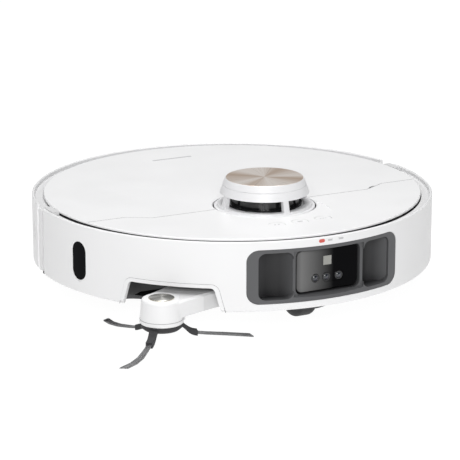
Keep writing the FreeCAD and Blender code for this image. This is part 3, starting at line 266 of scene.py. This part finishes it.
def spun(name, centre_xy, low, high, stops, metallic, rough):
    """Radially brushed metal disc: fine spokes and broad fans of light about its centre, painted into the
    base colour as highlights.
    """
    g = Graph(name)
    mapping = g.add("ShaderNodeMapping")
    mapping.inputs["Location"].default_value = (-centre_xy[0], -centre_xy[1], 0.0)
    g.link(g.coords, mapping.inputs["Vector"])
    fan = g.add("ShaderNodeTexGradient", gradient_type="RADIAL")
    g.link(mapping.outputs["Vector"], fan.inputs["Vector"])
    ramp = g.add("ShaderNodeValToRGB")
    elements = ramp.color_ramp.elements
    elements[0].position = stops[0][0]
    elements[0].color = (*[stops[0][1]] * 3, 1.0)
    elements[1].position = stops[-1][0]
    elements[1].color = (*[stops[-1][1]] * 3, 1.0)
    for position, value in stops[1:-1]:
        elements.new(position).color = (value, value, value, 1.0)
    g.link(fan.outputs["Fac"], ramp.inputs["Fac"])
    spokes = g.add("ShaderNodeTexNoise", noise_dimensions="1D")
    spokes.inputs["Scale"].default_value = 260.0
    spokes.inputs["Detail"].default_value = 3.0
    g.link(fan.outputs["Fac"], spokes.inputs["W"])
    # painted highlights: the fans mix the dark and the lit colour by angle
    tone = g.mix(ramp.outputs["Color"], low, high)
    tone = g.mix(g.ramp(spokes.outputs["Fac"], 0.0, 0.5, 0.35, 0.75), tone, low)
    g.set(Base_Color=tone, Metallic=metallic)
    g.set(Roughness=g.ramp(spokes.outputs["Fac"], rough - 0.05, rough + 0.07))
    g.set(Normal=g.bump(spokes.outputs["Fac"], 0.05, 0.00005))
    return g.material


def brushed(name, colour, rough, stretch, turn_axis=None):
    """Brushed metal: fine scratches along the brushing direction and uneven tone."""
    g = Graph(name)
    lines = g.noise(900.0, 3.0, stretch)
    drift = g.noise(30.0, 2.0)
    g.set(Base_Color=g.mix(g.ramp(lines, 0.0, 1.0), shade(colour, 0.86), shade(colour, 1.08)))
    g.set(Roughness=g.ramp(drift, rough - 0.04, rough + 0.05), Metallic=1.0)
    g.set(Normal=g.bump(lines, 0.12, 0.0001))
    if turn_axis:
        tangent = g.add("ShaderNodeTangent", direction_type="RADIAL", axis=turn_axis)
        g.set(Anisotropic=0.85, Tangent=tangent.outputs["Tangent"])
    return g.material


def rubber(name, colour, rough=0.7):
    g = Graph(name)
    fine = g.noise(1800.0, 6.0, rough=0.65)
    patches = g.noise(45.0, 4.0)
    dust = g.ramp(patches, 0.0, 1.0, 0.5, 0.85)
    g.set(Base_Color=g.mix(dust, colour, shade(colour, 1.7)))
    g.set(Roughness=g.ramp(patches, rough - 0.08, rough + 0.1))
    g.set(Normal=g.bump(fine, 0.25, 0.00015), Specular_IOR_Level=0.35)
    return g.material


def fabric(name, colour):
    """Looped microfibre: clumped loops over a woven ground, with painted shade darkening the ground between
    the loops.
    """
    g = Graph(name)
    loops = g.add("ShaderNodeTexVoronoi")
    loops.inputs["Scale"].default_value = 620.0
    g.link(g.coords, loops.inputs["Vector"])
    clumps = g.noise(170.0, 4.0)
    tone = g.mix(g.ramp(clumps, 0.0, 1.0), shade(colour, 0.7), shade(colour, 1.15))
    # painted shade: darker between the loops
    tone = g.mix(g.ramp(loops.outputs["Distance"], 0.0, 1.0, 0.1, 0.8), tone, shade(colour, 0.55))
    g.set(Base_Color=tone, Roughness=0.92, Sheen_Weight=0.35)
    first = g.bump(loops.outputs["Distance"], 0.8, 0.0006)
    g.set(Normal=g.bump(clumps, 0.6, 0.0008, first))
    return g.material


def bristle(name, colour):
    g = Graph(name)
    strands = g.noise(1500.0, 2.0)
    g.set(Base_Color=g.mix(g.ramp(strands, 0.0, 1.0), shade(colour, 0.75), shade(colour, 1.3)))
    g.set(Roughness=g.ramp(strands, 0.32, 0.5), Specular_IOR_Level=0.5)
    return g.material


def lens_glass(name):
    """Coated lens: dark glass with a violet-green bloom on its curved face, the coating's reflection painted
    into its colour: violet towards the rim, green in patches.
    """
    g = Graph(name)
    fresnel = g.add("ShaderNodeLayerWeight")
    fresnel.inputs["Blend"].default_value = 0.35
    # painted reflection of the coating: violet at grazing angles, green in patches
    bloom = g.mix(fresnel.outputs["Facing"], (0.004, 0.006, 0.010), (0.05, 0.035, 0.09))
    swirl = g.noise(700.0, 2.0)
    bloom = g.mix(g.ramp(swirl, 0.0, 0.35, 0.45, 0.7), bloom, (0.015, 0.05, 0.035))
    g.set(Base_Color=bloom, Roughness=0.03, Coat_Weight=1.0, Coat_Roughness=0.02)
    g.set(Normal=g.bump(swirl, 0.01, 0.0001))
    return g.material


def circuit(name):
    g = Graph(name)
    tracks = g.add("ShaderNodeTexBrick")
    tracks.inputs["Scale"].default_value = 240.0
    tracks.inputs["Mortar Size"].default_value = 0.04
    tracks.inputs["Color1"].default_value = (0.012, 0.09, 0.035, 1.0)
    tracks.inputs["Color2"].default_value = (0.010, 0.075, 0.030, 1.0)
    tracks.inputs["Mortar"].default_value = (0.05, 0.22, 0.09, 1.0)
    g.link(g.coords, tracks.inputs["Vector"])
    g.set(Base_Color=tracks.outputs["Color"], Roughness=g.ramp(g.noise(90.0), 0.3, 0.45))
    g.set(Normal=g.bump(tracks.outputs["Fac"], 0.2, 0.0001))
    return g.material


def pleated(name):
    g = Graph(name)
    fibres = g.noise(900.0, 6.0)
    g.set(Base_Color=g.mix(g.ramp(fibres, 0.0, 1.0), (0.50, 0.49, 0.45), (0.72, 0.71, 0.68)))
    g.set(Roughness=0.95, Normal=g.bump(fibres, 0.5, 0.0003))
    return g.material


def place_of(node):
    low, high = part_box(node)
    return ((low.x + high.x) / 2, (low.y + high.y) / 2)


# Painted fans of light on the spun discs, highlights in the base colour: share of a turn from -X round by -Y,
# and brightness.
DISC_FANS = ((0.0, 0.55), (0.05, 1.0), (0.11, 0.25), (0.20, 0.95), (0.30, 0.7), (0.39, 0.05), (0.45, 0.9),
             (0.52, 0.6), (0.60, 0.1), (0.68, 0.85), (0.80, 0.9), (0.88, 0.1), (0.94, 0.4), (1.0, 0.55))
CAP_FANS = ((0.0, 0.1), (0.12, 0.25), (0.22, 0.9), (0.30, 0.2), (0.42, 0.05), (0.55, 0.4), (0.64, 1.0),
            (0.72, 0.5), (0.85, 0.15), (0.93, 0.6), (1.0, 0.1))
# Radii over which the bezel's painted recess shade fades out towards the outer wall.
BEZEL_DEEP_R = 0.164
BEZEL_OUT_R = 0.1735
# Painted reflection on the camera's window, a soft lighter band in its colour: its colour, then where it
# starts, peaks and ends along X.
CAMERA_PAINTED_REFLECTION = ((0.17, 0.17, 0.17), -0.036, -0.024, 0.006)
# Moulded plastics: colour, roughness, grain depth, grain size in mm, tone drift and edge wear, then
# the clear coat and the painted shade within the wall (the trough round the top) where these matter.
PLASTICS = {
    "white_shell": ((0.79, 0.79, 0.795), 0.36, 0.015, 0.6, 0.015, 1.0, 0.0, 0.86),
    "white_top": ((0.83, 0.83, 0.835), 0.38, 0.01, 0.6, 0.010, 1.0),
    "white_turret": ((0.76, 0.76, 0.77), 0.40, 0.02, 0.6, 0.015, 1.0),
    "button_plastic": ((0.82, 0.82, 0.825), 0.40, 0.02, 0.5, 0.012, 1.0),
    "tub_plastic": ((0.045, 0.045, 0.048), 0.55, 0.35, 0.45, 0.2, 1.6),
    "bay_plastic": ((0.012, 0.012, 0.013), 0.5, 0.3, 0.4, 0.2, 1.8),
    "battery_case": ((0.03, 0.05, 0.12), 0.4, 0.1, 0.5, 0.1, 1.3),
    "diffuser": ((0.27, 0.27, 0.25), 0.5, 0.3, 0.2, 0.1, 1.1),
    "rotor_plastic": ((0.010, 0.010, 0.011), 0.16, 0.04, 0.3, 0.2, 1.5),
    "smoked_bin": ((0.03, 0.03, 0.033), 0.2, 0.04, 0.4, 0.2, 1.5, 0.3),
    # painted shade for the dark lines in the parting gaps
    "gap_shade": ((0.17, 0.17, 0.175), 0.6, 0.2, 0.1, 0.1, 1.0),
    "mark_ink": ((0.52, 0.52, 0.53), 0.5, 0.2, 0.1, 0.1, 1.0),
    "red_ink": ((0.60, 0.10, 0.08), 0.5, 0.2, 0.1, 0.1, 1.0),
}
MATERIALS = {name: moulded(name, *row) for name, row in PLASTICS.items()}
MATERIALS.update({
    # the bezel's second colour is the painted shade in its recesses
    "bezel_plastic": recessed("bezel_plastic", (0.100, 0.101, 0.105), (0.014, 0.014, 0.015), 0.45,
                              BEZEL_DEEP_R, BEZEL_OUT_R),
    "camera_glass": polished("camera_glass", (0.003, 0.003, 0.0035), 0.10, CAMERA_PAINTED_REFLECTION),
    "sensor_glass": polished("sensor_glass", (0.004, 0.004, 0.005), 0.10),
    "lens_glass": lens_glass("lens_glass"),
    "motor_metal": brushed("motor_metal", (0.45, 0.45, 0.46), 0.35, (1, 12, 12)),
    "contact_metal": brushed("contact_metal", (0.80, 0.74, 0.60), 0.22, (14, 1, 1)),
    "screw_steel": brushed("screw_steel", (0.40, 0.40, 0.41), 0.32, (6, 6, 1), "Z"),
    # the discs' two colours are the dark and the lit ends of the painted fans of light
    "champagne_disc": spun("champagne_disc", place_of("turret_disc"), (0.52, 0.40, 0.31), (0.97, 0.93, 0.89),
                           DISC_FANS, 0.45, 0.32),
    "brushed_cap": spun("brushed_cap", place_of("arm_cap"), (0.10, 0.10, 0.09), (0.80, 0.79, 0.76),
                        CAP_FANS, 0.7, 0.30),
    "brush_rubber": rubber("brush_rubber", (0.030, 0.030, 0.032), 0.62),
    "caster_rubber": rubber("caster_rubber", (0.018, 0.018, 0.019), 0.55),
    "wheel_rubber": rubber("wheel_rubber", (0.022, 0.022, 0.024), 0.75),
    "bristle_nylon": bristle("bristle_nylon", (0.24, 0.24, 0.245)),
    "mop_fabric": fabric("mop_fabric", (0.20, 0.22, 0.27)),
    "filter_paper": pleated("filter_paper"),
    "circuit_board": circuit("circuit_board"),
})


def paint_frame():
    for row in frame["record"]["subparts"]:
        mesh = nodes[row["node"]].data
        mesh.materials.clear()
        mesh.materials.append(MATERIALS[row["material_slot"]])


def paint(obj, slot, ink=None):
    obj.data.materials.clear()
    obj.data.materials.append(MATERIALS[ink or slot])
    return obj


# ---- mesh helpers ------------------------------------------------------------------
def new_object(name, mesh, body, slot, ink=None):
    obj = bpy.data.objects.new(name, mesh)
    bpy.context.scene.collection.objects.link(obj)
    paint(obj, slot, ink)
    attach(obj, body)
    return obj


def smooth(mesh):
    for polygon in mesh.polygons:
        polygon.use_smooth = True


def finished(bm, name):
    """The bmesh as a mesh, with its faces turned outwards."""
    bmesh.ops.recalc_face_normals(bm, faces=bm.faces)
    mesh = bpy.data.meshes.new(name)
    bm.to_mesh(mesh)
    bm.free()
    return mesh


def skin(bm, rings):
    """Faces along a row of equal rings, with a cap at each end."""
    count = len(rings[0])
    for here, there in zip(rings, rings[1:]):
        for k in range(count):
            following = (k + 1) % count
            bm.faces.new((here[k], here[following], there[following], there[k]))
    bm.faces.new(rings[0])
    bm.faces.new(list(reversed(rings[-1])))


def centre(node):
    low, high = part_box(node)
    return (low + high) / 2


def lathe(name, outline, origin, axis, segments=64):
    """Closed (radius, along) outline turned about an axis through origin."""
    side = axis.orthogonal().normalized()
    up = axis.cross(side).normalized()
    bm = bmesh.new()
    rings = []
    for step in range(segments):
        turn = 2 * math.pi * step / segments
        ray = side * math.cos(turn) + up * math.sin(turn)
        rings.append([bm.verts.new(origin + ray * r + axis * a) for r, a in outline])
    count = len(outline)
    for step in range(segments):
        here = rings[step]
        there = rings[(step + 1) % segments]
        for k in range(count):
            bm.faces.new((here[k], here[(k + 1) % count], there[(k + 1) % count], there[k]))
    return finished(bm, name)


STRAND_SIDES = 5


def strand(bm, points, radius):
    """A thin closed tube through the points."""
    rings = []
    for index, point in enumerate(points):
        ahead = points[min(index + 1, len(points) - 1)]
        behind = points[max(index - 1, 0)]
        along = (ahead - behind).normalized()
        side = along.cross(Vector((0, 0, 1))).normalized()
        up = side.cross(along)
        ring = []
        for corner in range(STRAND_SIDES):
            turn = 2 * math.pi * corner / STRAND_SIDES
            ring.append(bm.verts.new(point + side * radius * math.cos(turn) + up * radius * math.sin(turn)))
        rings.append(ring)
    skin(bm, rings)


# ---- side brush bristles --------------------------------------------------------------
# One bundle from its sleeve outwards, in mm: radius, side shift and height, then its width there.
BRISTLE_PATH = ((27.5, 0.9, 6.4), (38.0, 1.8, 4.6), (52.0, 2.8, 2.8), (64.0, 1.6, 1.7), (75.6, -1.6, 1.25))
BRISTLE_WIDTH = (4.2, 4.8, 5.8, 6.6, 7.4)
BRISTLE_ANGLES = (-138.0, -15.0, 104.0)
BRISTLE_ROOT = BRISTLE_PATH[0][0]
BRISTLE_THICK = 1.7
BRISTLE_THINNING = 0.35     # share of the thickness lost over BRISTLE_LENGTH
BRISTLE_LENGTH = 48.0
BRISTLE_SLANT = 0.035       # how much shorter one edge of the bundle is
BRISTLE_RAGGED = 0.012      # how uneven the strands' ends are
STRANDS = 90
STRAND_R = 0.11
STRAND_LOWEST = 0.55


def bristles():
    rng = random.Random(7)
    hub = centre("side_brush_disc")
    bm = bmesh.new()
    for angle in BRISTLE_ANGLES:
        spin = Matrix.Rotation(math.radians(angle), 3, "Z")
        for _ in range(STRANDS):
            across = rng.uniform(-0.5, 0.5)
            lift = rng.uniform(-0.5, 0.5)
            cut = 1.0 - BRISTLE_SLANT * (across + 0.5) - rng.uniform(0.0, BRISTLE_RAGGED)
            points = []
            for (r, shift, z), width in zip(BRISTLE_PATH, BRISTLE_WIDTH):
                reach = BRISTLE_ROOT + (r - BRISTLE_ROOT) * cut
                thick = BRISTLE_THICK * (1.0 - BRISTLE_THINNING * (r - BRISTLE_ROOT) / BRISTLE_LENGTH)
                place = spin @ Vector((reach, shift + across * width, 0.0)) * MM
                height = max(STRAND_LOWEST, z + lift * thick) * MM
                points.append(Vector((hub.x + place.x, hub.y + place.y, height)))
            strand(bm, points, STRAND_R * MM)
    mesh = finished(bm, "bristle_strands")
    smooth(mesh)
    obj = new_object("bristle_strands", mesh, "side_brush", "bristle_nylon")
    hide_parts("side_brush_bristles")


# ---- mop pads -------------------------------------------------------------------------
MOP_RINGS = 30
MOP_STEPS = 144
MOP_LOBES = 9.0
MOP_TWIST = 2.4             # radians that the lobes wind by, from the middle to the rim
MOP_GROOVE = 0.22           # depth of the grooves between the lobes, as a share of the crown
MOP_HEM = 0.93              # where the hem starts, as a share of the radius
MOP_HEM_GROOVE = 0.3        # what is left of the grooves on the hem
MOP_RIM_THICK = 0.35        # these are shares of the pad's thickness
MOP_CROWN = 0.62
MOP_HUB_THICK = 0.95
MOP_REACH = 0.995           # radius of the crown's rim and of the flat top, as shares of the pad's
MOP_TOP_REACH = 0.97


def mop_pad(side):
    """Crowned microfibre disc with a bound hem and radial lobes of loops."""
    low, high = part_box("mop_pad_" + side)
    middle = (low + high) / 2
    radius = (high.x - low.x) / 2
    thick = high.z - low.z
    bm = bmesh.new()
    lower = []
    for ring in range(1, MOP_RINGS + 1):
        share = ring / MOP_RINGS
        row = []
        for step in range(MOP_STEPS):
            turn = 2 * math.pi * step / MOP_STEPS
            lobe = math.sin(turn * MOP_LOBES + share * MOP_TWIST)
            crown = 1.0 - share ** 6
            groove = MOP_GROOVE * (1.0 - abs(lobe)) ** 3 * (1.0 if share < MOP_HEM else MOP_HEM_GROOVE)
            z = high.z - thick * (MOP_RIM_THICK + MOP_CROWN * crown ** 0.5 * (1.0 - groove))
            r = radius * share * MOP_REACH
            row.append(bm.verts.new((middle.x + r * math.cos(turn), middle.y + r * math.sin(turn), z)))
        lower.append(row)
    hub = bm.verts.new((middle.x, middle.y, high.z - thick * MOP_HUB_THICK))
    top = []
    for step in range(MOP_STEPS):
        turn = 2 * math.pi * step / MOP_STEPS
        r = radius * MOP_TOP_REACH
        top.append(bm.verts.new((middle.x + r * math.cos(turn), middle.y + r * math.sin(turn), high.z)))
    cap = bm.verts.new((middle.x, middle.y, high.z))
    for step in range(MOP_STEPS):
        following = (step + 1) % MOP_STEPS
        bm.faces.new((hub, lower[0][following], lower[0][step]))
        for ring in range(MOP_RINGS - 1):
            inner = lower[ring]
            outer = lower[ring + 1]
            bm.faces.new((inner[step], inner[following], outer[following], outer[step]))
        bm.faces.new((lower[-1][step], lower[-1][following], top[following], top[step]))
        bm.faces.new((top[step], top[following], cap))
    mesh = finished(bm, "mop_cloth_" + side)
    smooth(mesh)
    obj = new_object("mop_cloth_" + side, mesh, side + "_mop", "mop_fabric")
    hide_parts("mop_pad_" + side)


# ---- small details ---------------------------------------------------------------------
# Stepped ring of a camera lens, in mm: radius and distance outwards.
LENS_RING = ((2.3, -0.05), (3.7, -0.05), (3.7, 0.22), (3.5, 0.40), (2.6, 0.34), (2.3, 0.05))
LENS_RING_BACK = 0.45 * MM  # how far the rings stand behind the window's foremost point
DEPTH_LENS_R = 2.9 * MM
# Ring of the side brush's cap, in mm: distance beyond the cap's radius and height.
CAP_RING = ((-0.15, 0.0), (0.18, 0.0), (0.10, 0.45), (-0.3, 0.55))
CAP_RING_UP = 0.95 * MM
HUB_SEAM_HALF = 0.12 * MM
HUB_SEAM_PROUD = 0.03 * MM


def lens_rings():
    """Stepped barrel rings around the three camera lenses."""
    front_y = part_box("camera_window")[0].y
    outline = [(r * MM, out * MM) for r, out in LENS_RING]
    places = [centre("rgb_camera_lens")]
    lens_low, lens_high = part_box("depth_camera_lenses")
    for x in (lens_low.x + DEPTH_LENS_R, lens_high.x - DEPTH_LENS_R):
        places.append(Vector((x, 0, places[0].z)))
    for index, place in enumerate(places):
        name = "lens_ring_%d" % index
        origin = Vector((place.x, front_y + LENS_RING_BACK, place.z))
        mesh = lathe(name, outline, origin, Vector((0, -1, 0)), 48)
        smooth(mesh)
        new_object(name, mesh, "chassis", "rotor_plastic")


def cap_ring():
    """Thin gilt ring around the side brush cap."""
    low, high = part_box("arm_cap")
    middle = (low + high) / 2
    radius = (high.x - low.x) / 2
    outline = [(radius + out * MM, up * MM) for out, up in CAP_RING]
    origin = Vector((middle.x, middle.y, low.z + CAP_RING_UP))
    mesh = lathe("cap_ring", outline, origin, Vector((0, 0, 1)), 72)
    smooth(mesh)
    new_object("cap_ring", mesh, "brush_arm", "contact_metal")


def hub_seam():
    """Painted shade along the parting line between the arm's hub and the ring under it: a thin dark band."""
    low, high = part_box("arm_cover")
    hub = centre("side_brush_disc")
    radius = min(high.x - hub.x, hub.x - low.x) - HUB_SEAM_HALF
    inner = radius - HUB_SEAM_HALF
    outer = radius + HUB_SEAM_PROUD
    outline = [(inner, -HUB_SEAM_HALF), (outer, -HUB_SEAM_HALF),
               (outer, HUB_SEAM_HALF), (inner, HUB_SEAM_HALF)]
    mesh = lathe("hub_seam", outline, Vector((hub.x, hub.y, high.z)), Vector((0, 0, 1)), 96)
    new_object("hub_seam", mesh, "brush_arm", "white_shell", "gap_shade")


def curved_plate(name, inner_r, outer_r, psi0, psi1, z0, z1, body, slot, ink=None, steps=16):
    """A closed plate that follows the round wall between two bearings."""
    bm = bmesh.new()
    rows = []
    for step in range(steps + 1):
        turn = math.radians(psi0 + (psi1 - psi0) * step / steps)
        row = []
        for reach, z in ((inner_r, z0), (outer_r, z0), (outer_r, z1), (inner_r, z1)):
            row.append(bm.verts.new((reach * math.sin(turn), -reach * math.cos(turn), z)))
        rows.append(row)
    skin(bm, rows)
    new_object(name, finished(bm, name), body, slot, ink)


def tube_line(name, points, radius, body, slot, ink):
    """A thin closed tube through the points, for painted shade along a parting line."""
    bm = bmesh.new()
    strand(bm, points, radius)
    mesh = finished(bm, name)
    smooth(mesh)
    new_object(name, mesh, body, slot, ink)


def notch_corner():
    """Upper corner of the notch: an arc from its sloping side round to its level top."""
    lean = math.atan2(NOTCH_FOOT_HALF - NOTCH_TOP_HALF, NOTCH_TOP - NOTCH_FOOT_Z)
    reach = NOTCH_CORNER * math.tan((math.pi / 2 - lean) / 2)
    middle_x = NOTCH_TOP_HALF - reach
    middle_z = NOTCH_TOP - NOTCH_CORNER
    points = []
    for step in range(NOTCH_CORNER_STEPS + 1):
        turn = lean + (math.pi / 2 - lean) * step / NOTCH_CORNER_STEPS
        points.append((middle_x + NOTCH_CORNER * math.cos(turn), middle_z + NOTCH_CORNER * math.sin(turn)))
    return points


def notch_line():
    """Painted shade along the parting line round the white trim of the side brush notch: a thin dark tube."""
    half = [(NOTCH_FOOT_HALF, NOTCH_FOOT_Z)] + notch_corner()
    outline = half + [(-x, z) for x, z in reversed(half)]
    points = []
    for (x0, z0), (x1, z1) in zip(outline, outline[1:]):
        count = max(1, int(abs(x1 - x0) / NOTCH_STEP))
        for step in range(count):
            share = step / count
            points.append((x0 + (x1 - x0) * share, z0 + (z1 - z0) * share))
    points.append(outline[-1])
    spin = Matrix.Rotation(math.radians(NOTCH_PSI), 3, "Z")
    reach = BODY_R - NOTCH_LINE_SINK
    path = [spin @ Vector((x, -math.sqrt(reach ** 2 - x ** 2), z)) for x, z in points]
    tube_line("notch_line", path, NOTCH_LINE_R, "bumper", "white_shell", "gap_shade")


def deck_lid_shade_strip():
    """Painted shade: a thin black strip just under the top of the seam between the deck and the lid, on both
    sides of the turret, standing in for the shadow in the gap.
    """
    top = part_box("lid")[1].z - SHADE_STRIP_SINK
    low = top - SHADE_STRIP_DEPTH
    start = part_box("turret_base")[1].x + SHADE_STRIP_FROM_TURRET
    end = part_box("lid")[1].x - SHADE_STRIP_FROM_EDGE
    for name, side in (("deck_lid_shade_strip_left", 1), ("deck_lid_shade_strip_right", -1)):
        path = [(side * start, SEAM_MID_Y), (side * SEAM_BEND_X[0], SEAM_MID_Y),
                (side * SEAM_BEND_X[1], SEAM_SIDE_Y), (side * end, SEAM_SIDE_Y)]
        bm = bmesh.new()
        rows = []
        for x, y in path:
            rows.append([bm.verts.new((x, y + shift * MM, z)) for shift, z in
                         ((-SHADE_STRIP_HALF, low), (SHADE_STRIP_HALF, low), (SHADE_STRIP_HALF, top), (-SHADE_STRIP_HALF, top))])
        skin(bm, rows)
        new_object(name, finished(bm, name), "chassis", "brush_rubber")


def vent_shade_sheet():
    """Painted shade: a dark sheet behind the ventilation slits on both sides, so that the slits read dark."""
    back = BODY_R - VENT_BACK
    for name, side in (("vent_shade_sheet_right", -1), ("vent_shade_sheet_left", 1)):
        curved_plate(name, back, back + VENT_THICK, side * VENT_PSI[0], side * VENT_PSI[1], *VENT_Z,
                     "chassis", "bay_plastic")


def side_stops():
    """Small rubber stops low in the wall, just behind the bumper's two ends."""
    for name, side in (("side_stop_right", -1), ("side_stop_left", 1)):
        curved_plate(name, BODY_R - STOP_BACK[0], BODY_R - STOP_BACK[1], side * STOP_PSI[0],
                     side * STOP_PSI[1], *STOP_Z, "chassis", "brush_rubber")


MARK_PROUD = 0.08 * MM
MARK_SINK = 0.02 * MM
WALL_MARK_SINK = 0.05 * MM
PILL_STEPS = 24


def flat_mark(name, outline, face_z, body, slot, ink):
    """A thin printed mark: a closed (x, y) outline just proud of a level face."""
    bm = bmesh.new()
    levels = (face_z - MARK_SINK, face_z + MARK_PROUD)
    skin(bm, [[bm.verts.new((x, y, z)) for x, y in outline] for z in levels])
    new_object(name, finished(bm, name), body, slot, ink)


def pill(x, y, half_x, half_y):
    """Outline of a pill lying along X."""
    points = []
    for step in range(PILL_STEPS):
        turn = 2 * math.pi * step / PILL_STEPS
        shift = half_x - half_y if math.cos(turn) >= 0 else -(half_x - half_y)
        points.append((x + shift + half_y * math.cos(turn), y + half_y * math.sin(turn)))
    return points


def wall_mark(name, psi, z, half_w, half_h, ink):
    """A printed pill on the bumper's round wall."""
    bm = bmesh.new()
    rings = []
    for reach in (BODY_R - WALL_MARK_SINK, BODY_R + MARK_PROUD):
        ring = []
        for x, up in pill(0.0, 0.0, half_w, half_h):
            turn = math.radians(psi) + x / BODY_R
            ring.append(bm.verts.new((reach * math.sin(turn), -reach * math.cos(turn), z + up)))
        rings.append(ring)
    skin(bm, rings)
    new_object(name, finished(bm, name), "bumper", "white_shell", ink)


# Raised stand-ins for the key icons, in mm: side shift, half length and half width of each pill.
ICONS = {
    "right": ((-1.7, 0.9, 0.8), (1.7, 0.9, 0.8)),
    "middle": ((0.0, 2.6, 1.1),),
    "left": ((-2.4, 0.7, 0.6), (0.0, 0.7, 0.6), (2.4, 0.7, 0.6)),
}
FRONT_MARK_Z = 78.9 * MM


def printed_marks():
    """Plain stand-ins for the printed words: pills and bars that spell nothing."""
    wall_mark("front_mark_pill", -2.85, FRONT_MARK_Z, 2.7 * MM, 1.5 * MM, "red_ink")
    wall_mark("front_mark_bar", 1.35, FRONT_MARK_Z, 7.4 * MM, 0.8 * MM, "mark_ink")
    lid_outline = pill(2 * MM, 123.7 * MM, 20 * MM, 1.7 * MM)
    flat_mark("lid_mark", lid_outline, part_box("lid")[1].z, "top_lid", "white_top", "mark_ink")
    for side, icons in ICONS.items():
        x, y = place_of("button_" + side)
        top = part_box("button_" + side)[1].z
        for index, (shift, half_x, half_y) in enumerate(icons):
            outline = pill(x + shift * MM, y, half_x * MM, half_y * MM)
            flat_mark("icon_%s_%d" % (side, index), outline, top, side + "_key", "button_plastic", "mark_ink")


# ---- stage ------------------------------------------------------------------------------
FLOOR_COLOUR = (0.12, 0.12, 0.12)
FLOOR_GLOW = 0.97
WORLD_STRENGTH = 0.12


def add_floor():
    mesh = bpy.data.meshes.new("floor")
    half = 6.0
    mesh.from_pydata([(-half, -half, 0), (half, -half, 0), (half, half, 0), (-half, half, 0)],
                     [], [(0, 1, 2, 3)])
    floor = bpy.data.objects.new("floor", mesh)
    bpy.context.scene.collection.objects.link(floor)
    g = Graph("floor")
    g.set(Base_Color=FLOOR_COLOUR, Roughness=0.9, Specular_IOR_Level=0.0)
    g.set(Emission_Color=(1.0, 1.0, 1.0), Emission_Strength=FLOOR_GLOW)
    mesh.materials.append(g.material)


def area_light(name, place, aim, size, power):
    data = bpy.data.lights.new(name, "AREA")
    data.shape = "RECTANGLE"
    data.size = size[0]
    data.size_y = size[1]
    data.energy = power
    light = bpy.data.objects.new(name, data)
    bpy.context.scene.collection.objects.link(light)
    light.location = place
    light.rotation_euler = (Vector(place) - Vector(aim)).to_track_quat("Z", "Y").to_euler()


def add_lights():
    world = bpy.data.worlds.new("studio")
    bpy.context.scene.world = world
    world.use_nodes = True
    background = world.node_tree.nodes["Background"]
    background.inputs["Color"].default_value = (1.0, 1.0, 1.0, 1.0)
    background.inputs["Strength"].default_value = WORLD_STRENGTH
    area_light("key", (-1.0, -1.9, 0.9), (0, 0, 0.05), (1.2, 1.0), 29.0)
    area_light("top", (0.0, 0.1, 2.2), (0, 0, 0.05), (1.8, 1.8), 51.0)
    view = bpy.context.scene.view_settings
    view.view_transform = "Standard"
    view.look = "None"


add_camera()
paint_frame()
bristles()
mop_pad("left")
mop_pad("right")
lens_rings()
cap_ring()
hub_seam()
notch_line()
deck_lid_shade_strip()
vent_shade_sheet()
side_stops()
printed_marks()
add_floor()
add_lights()
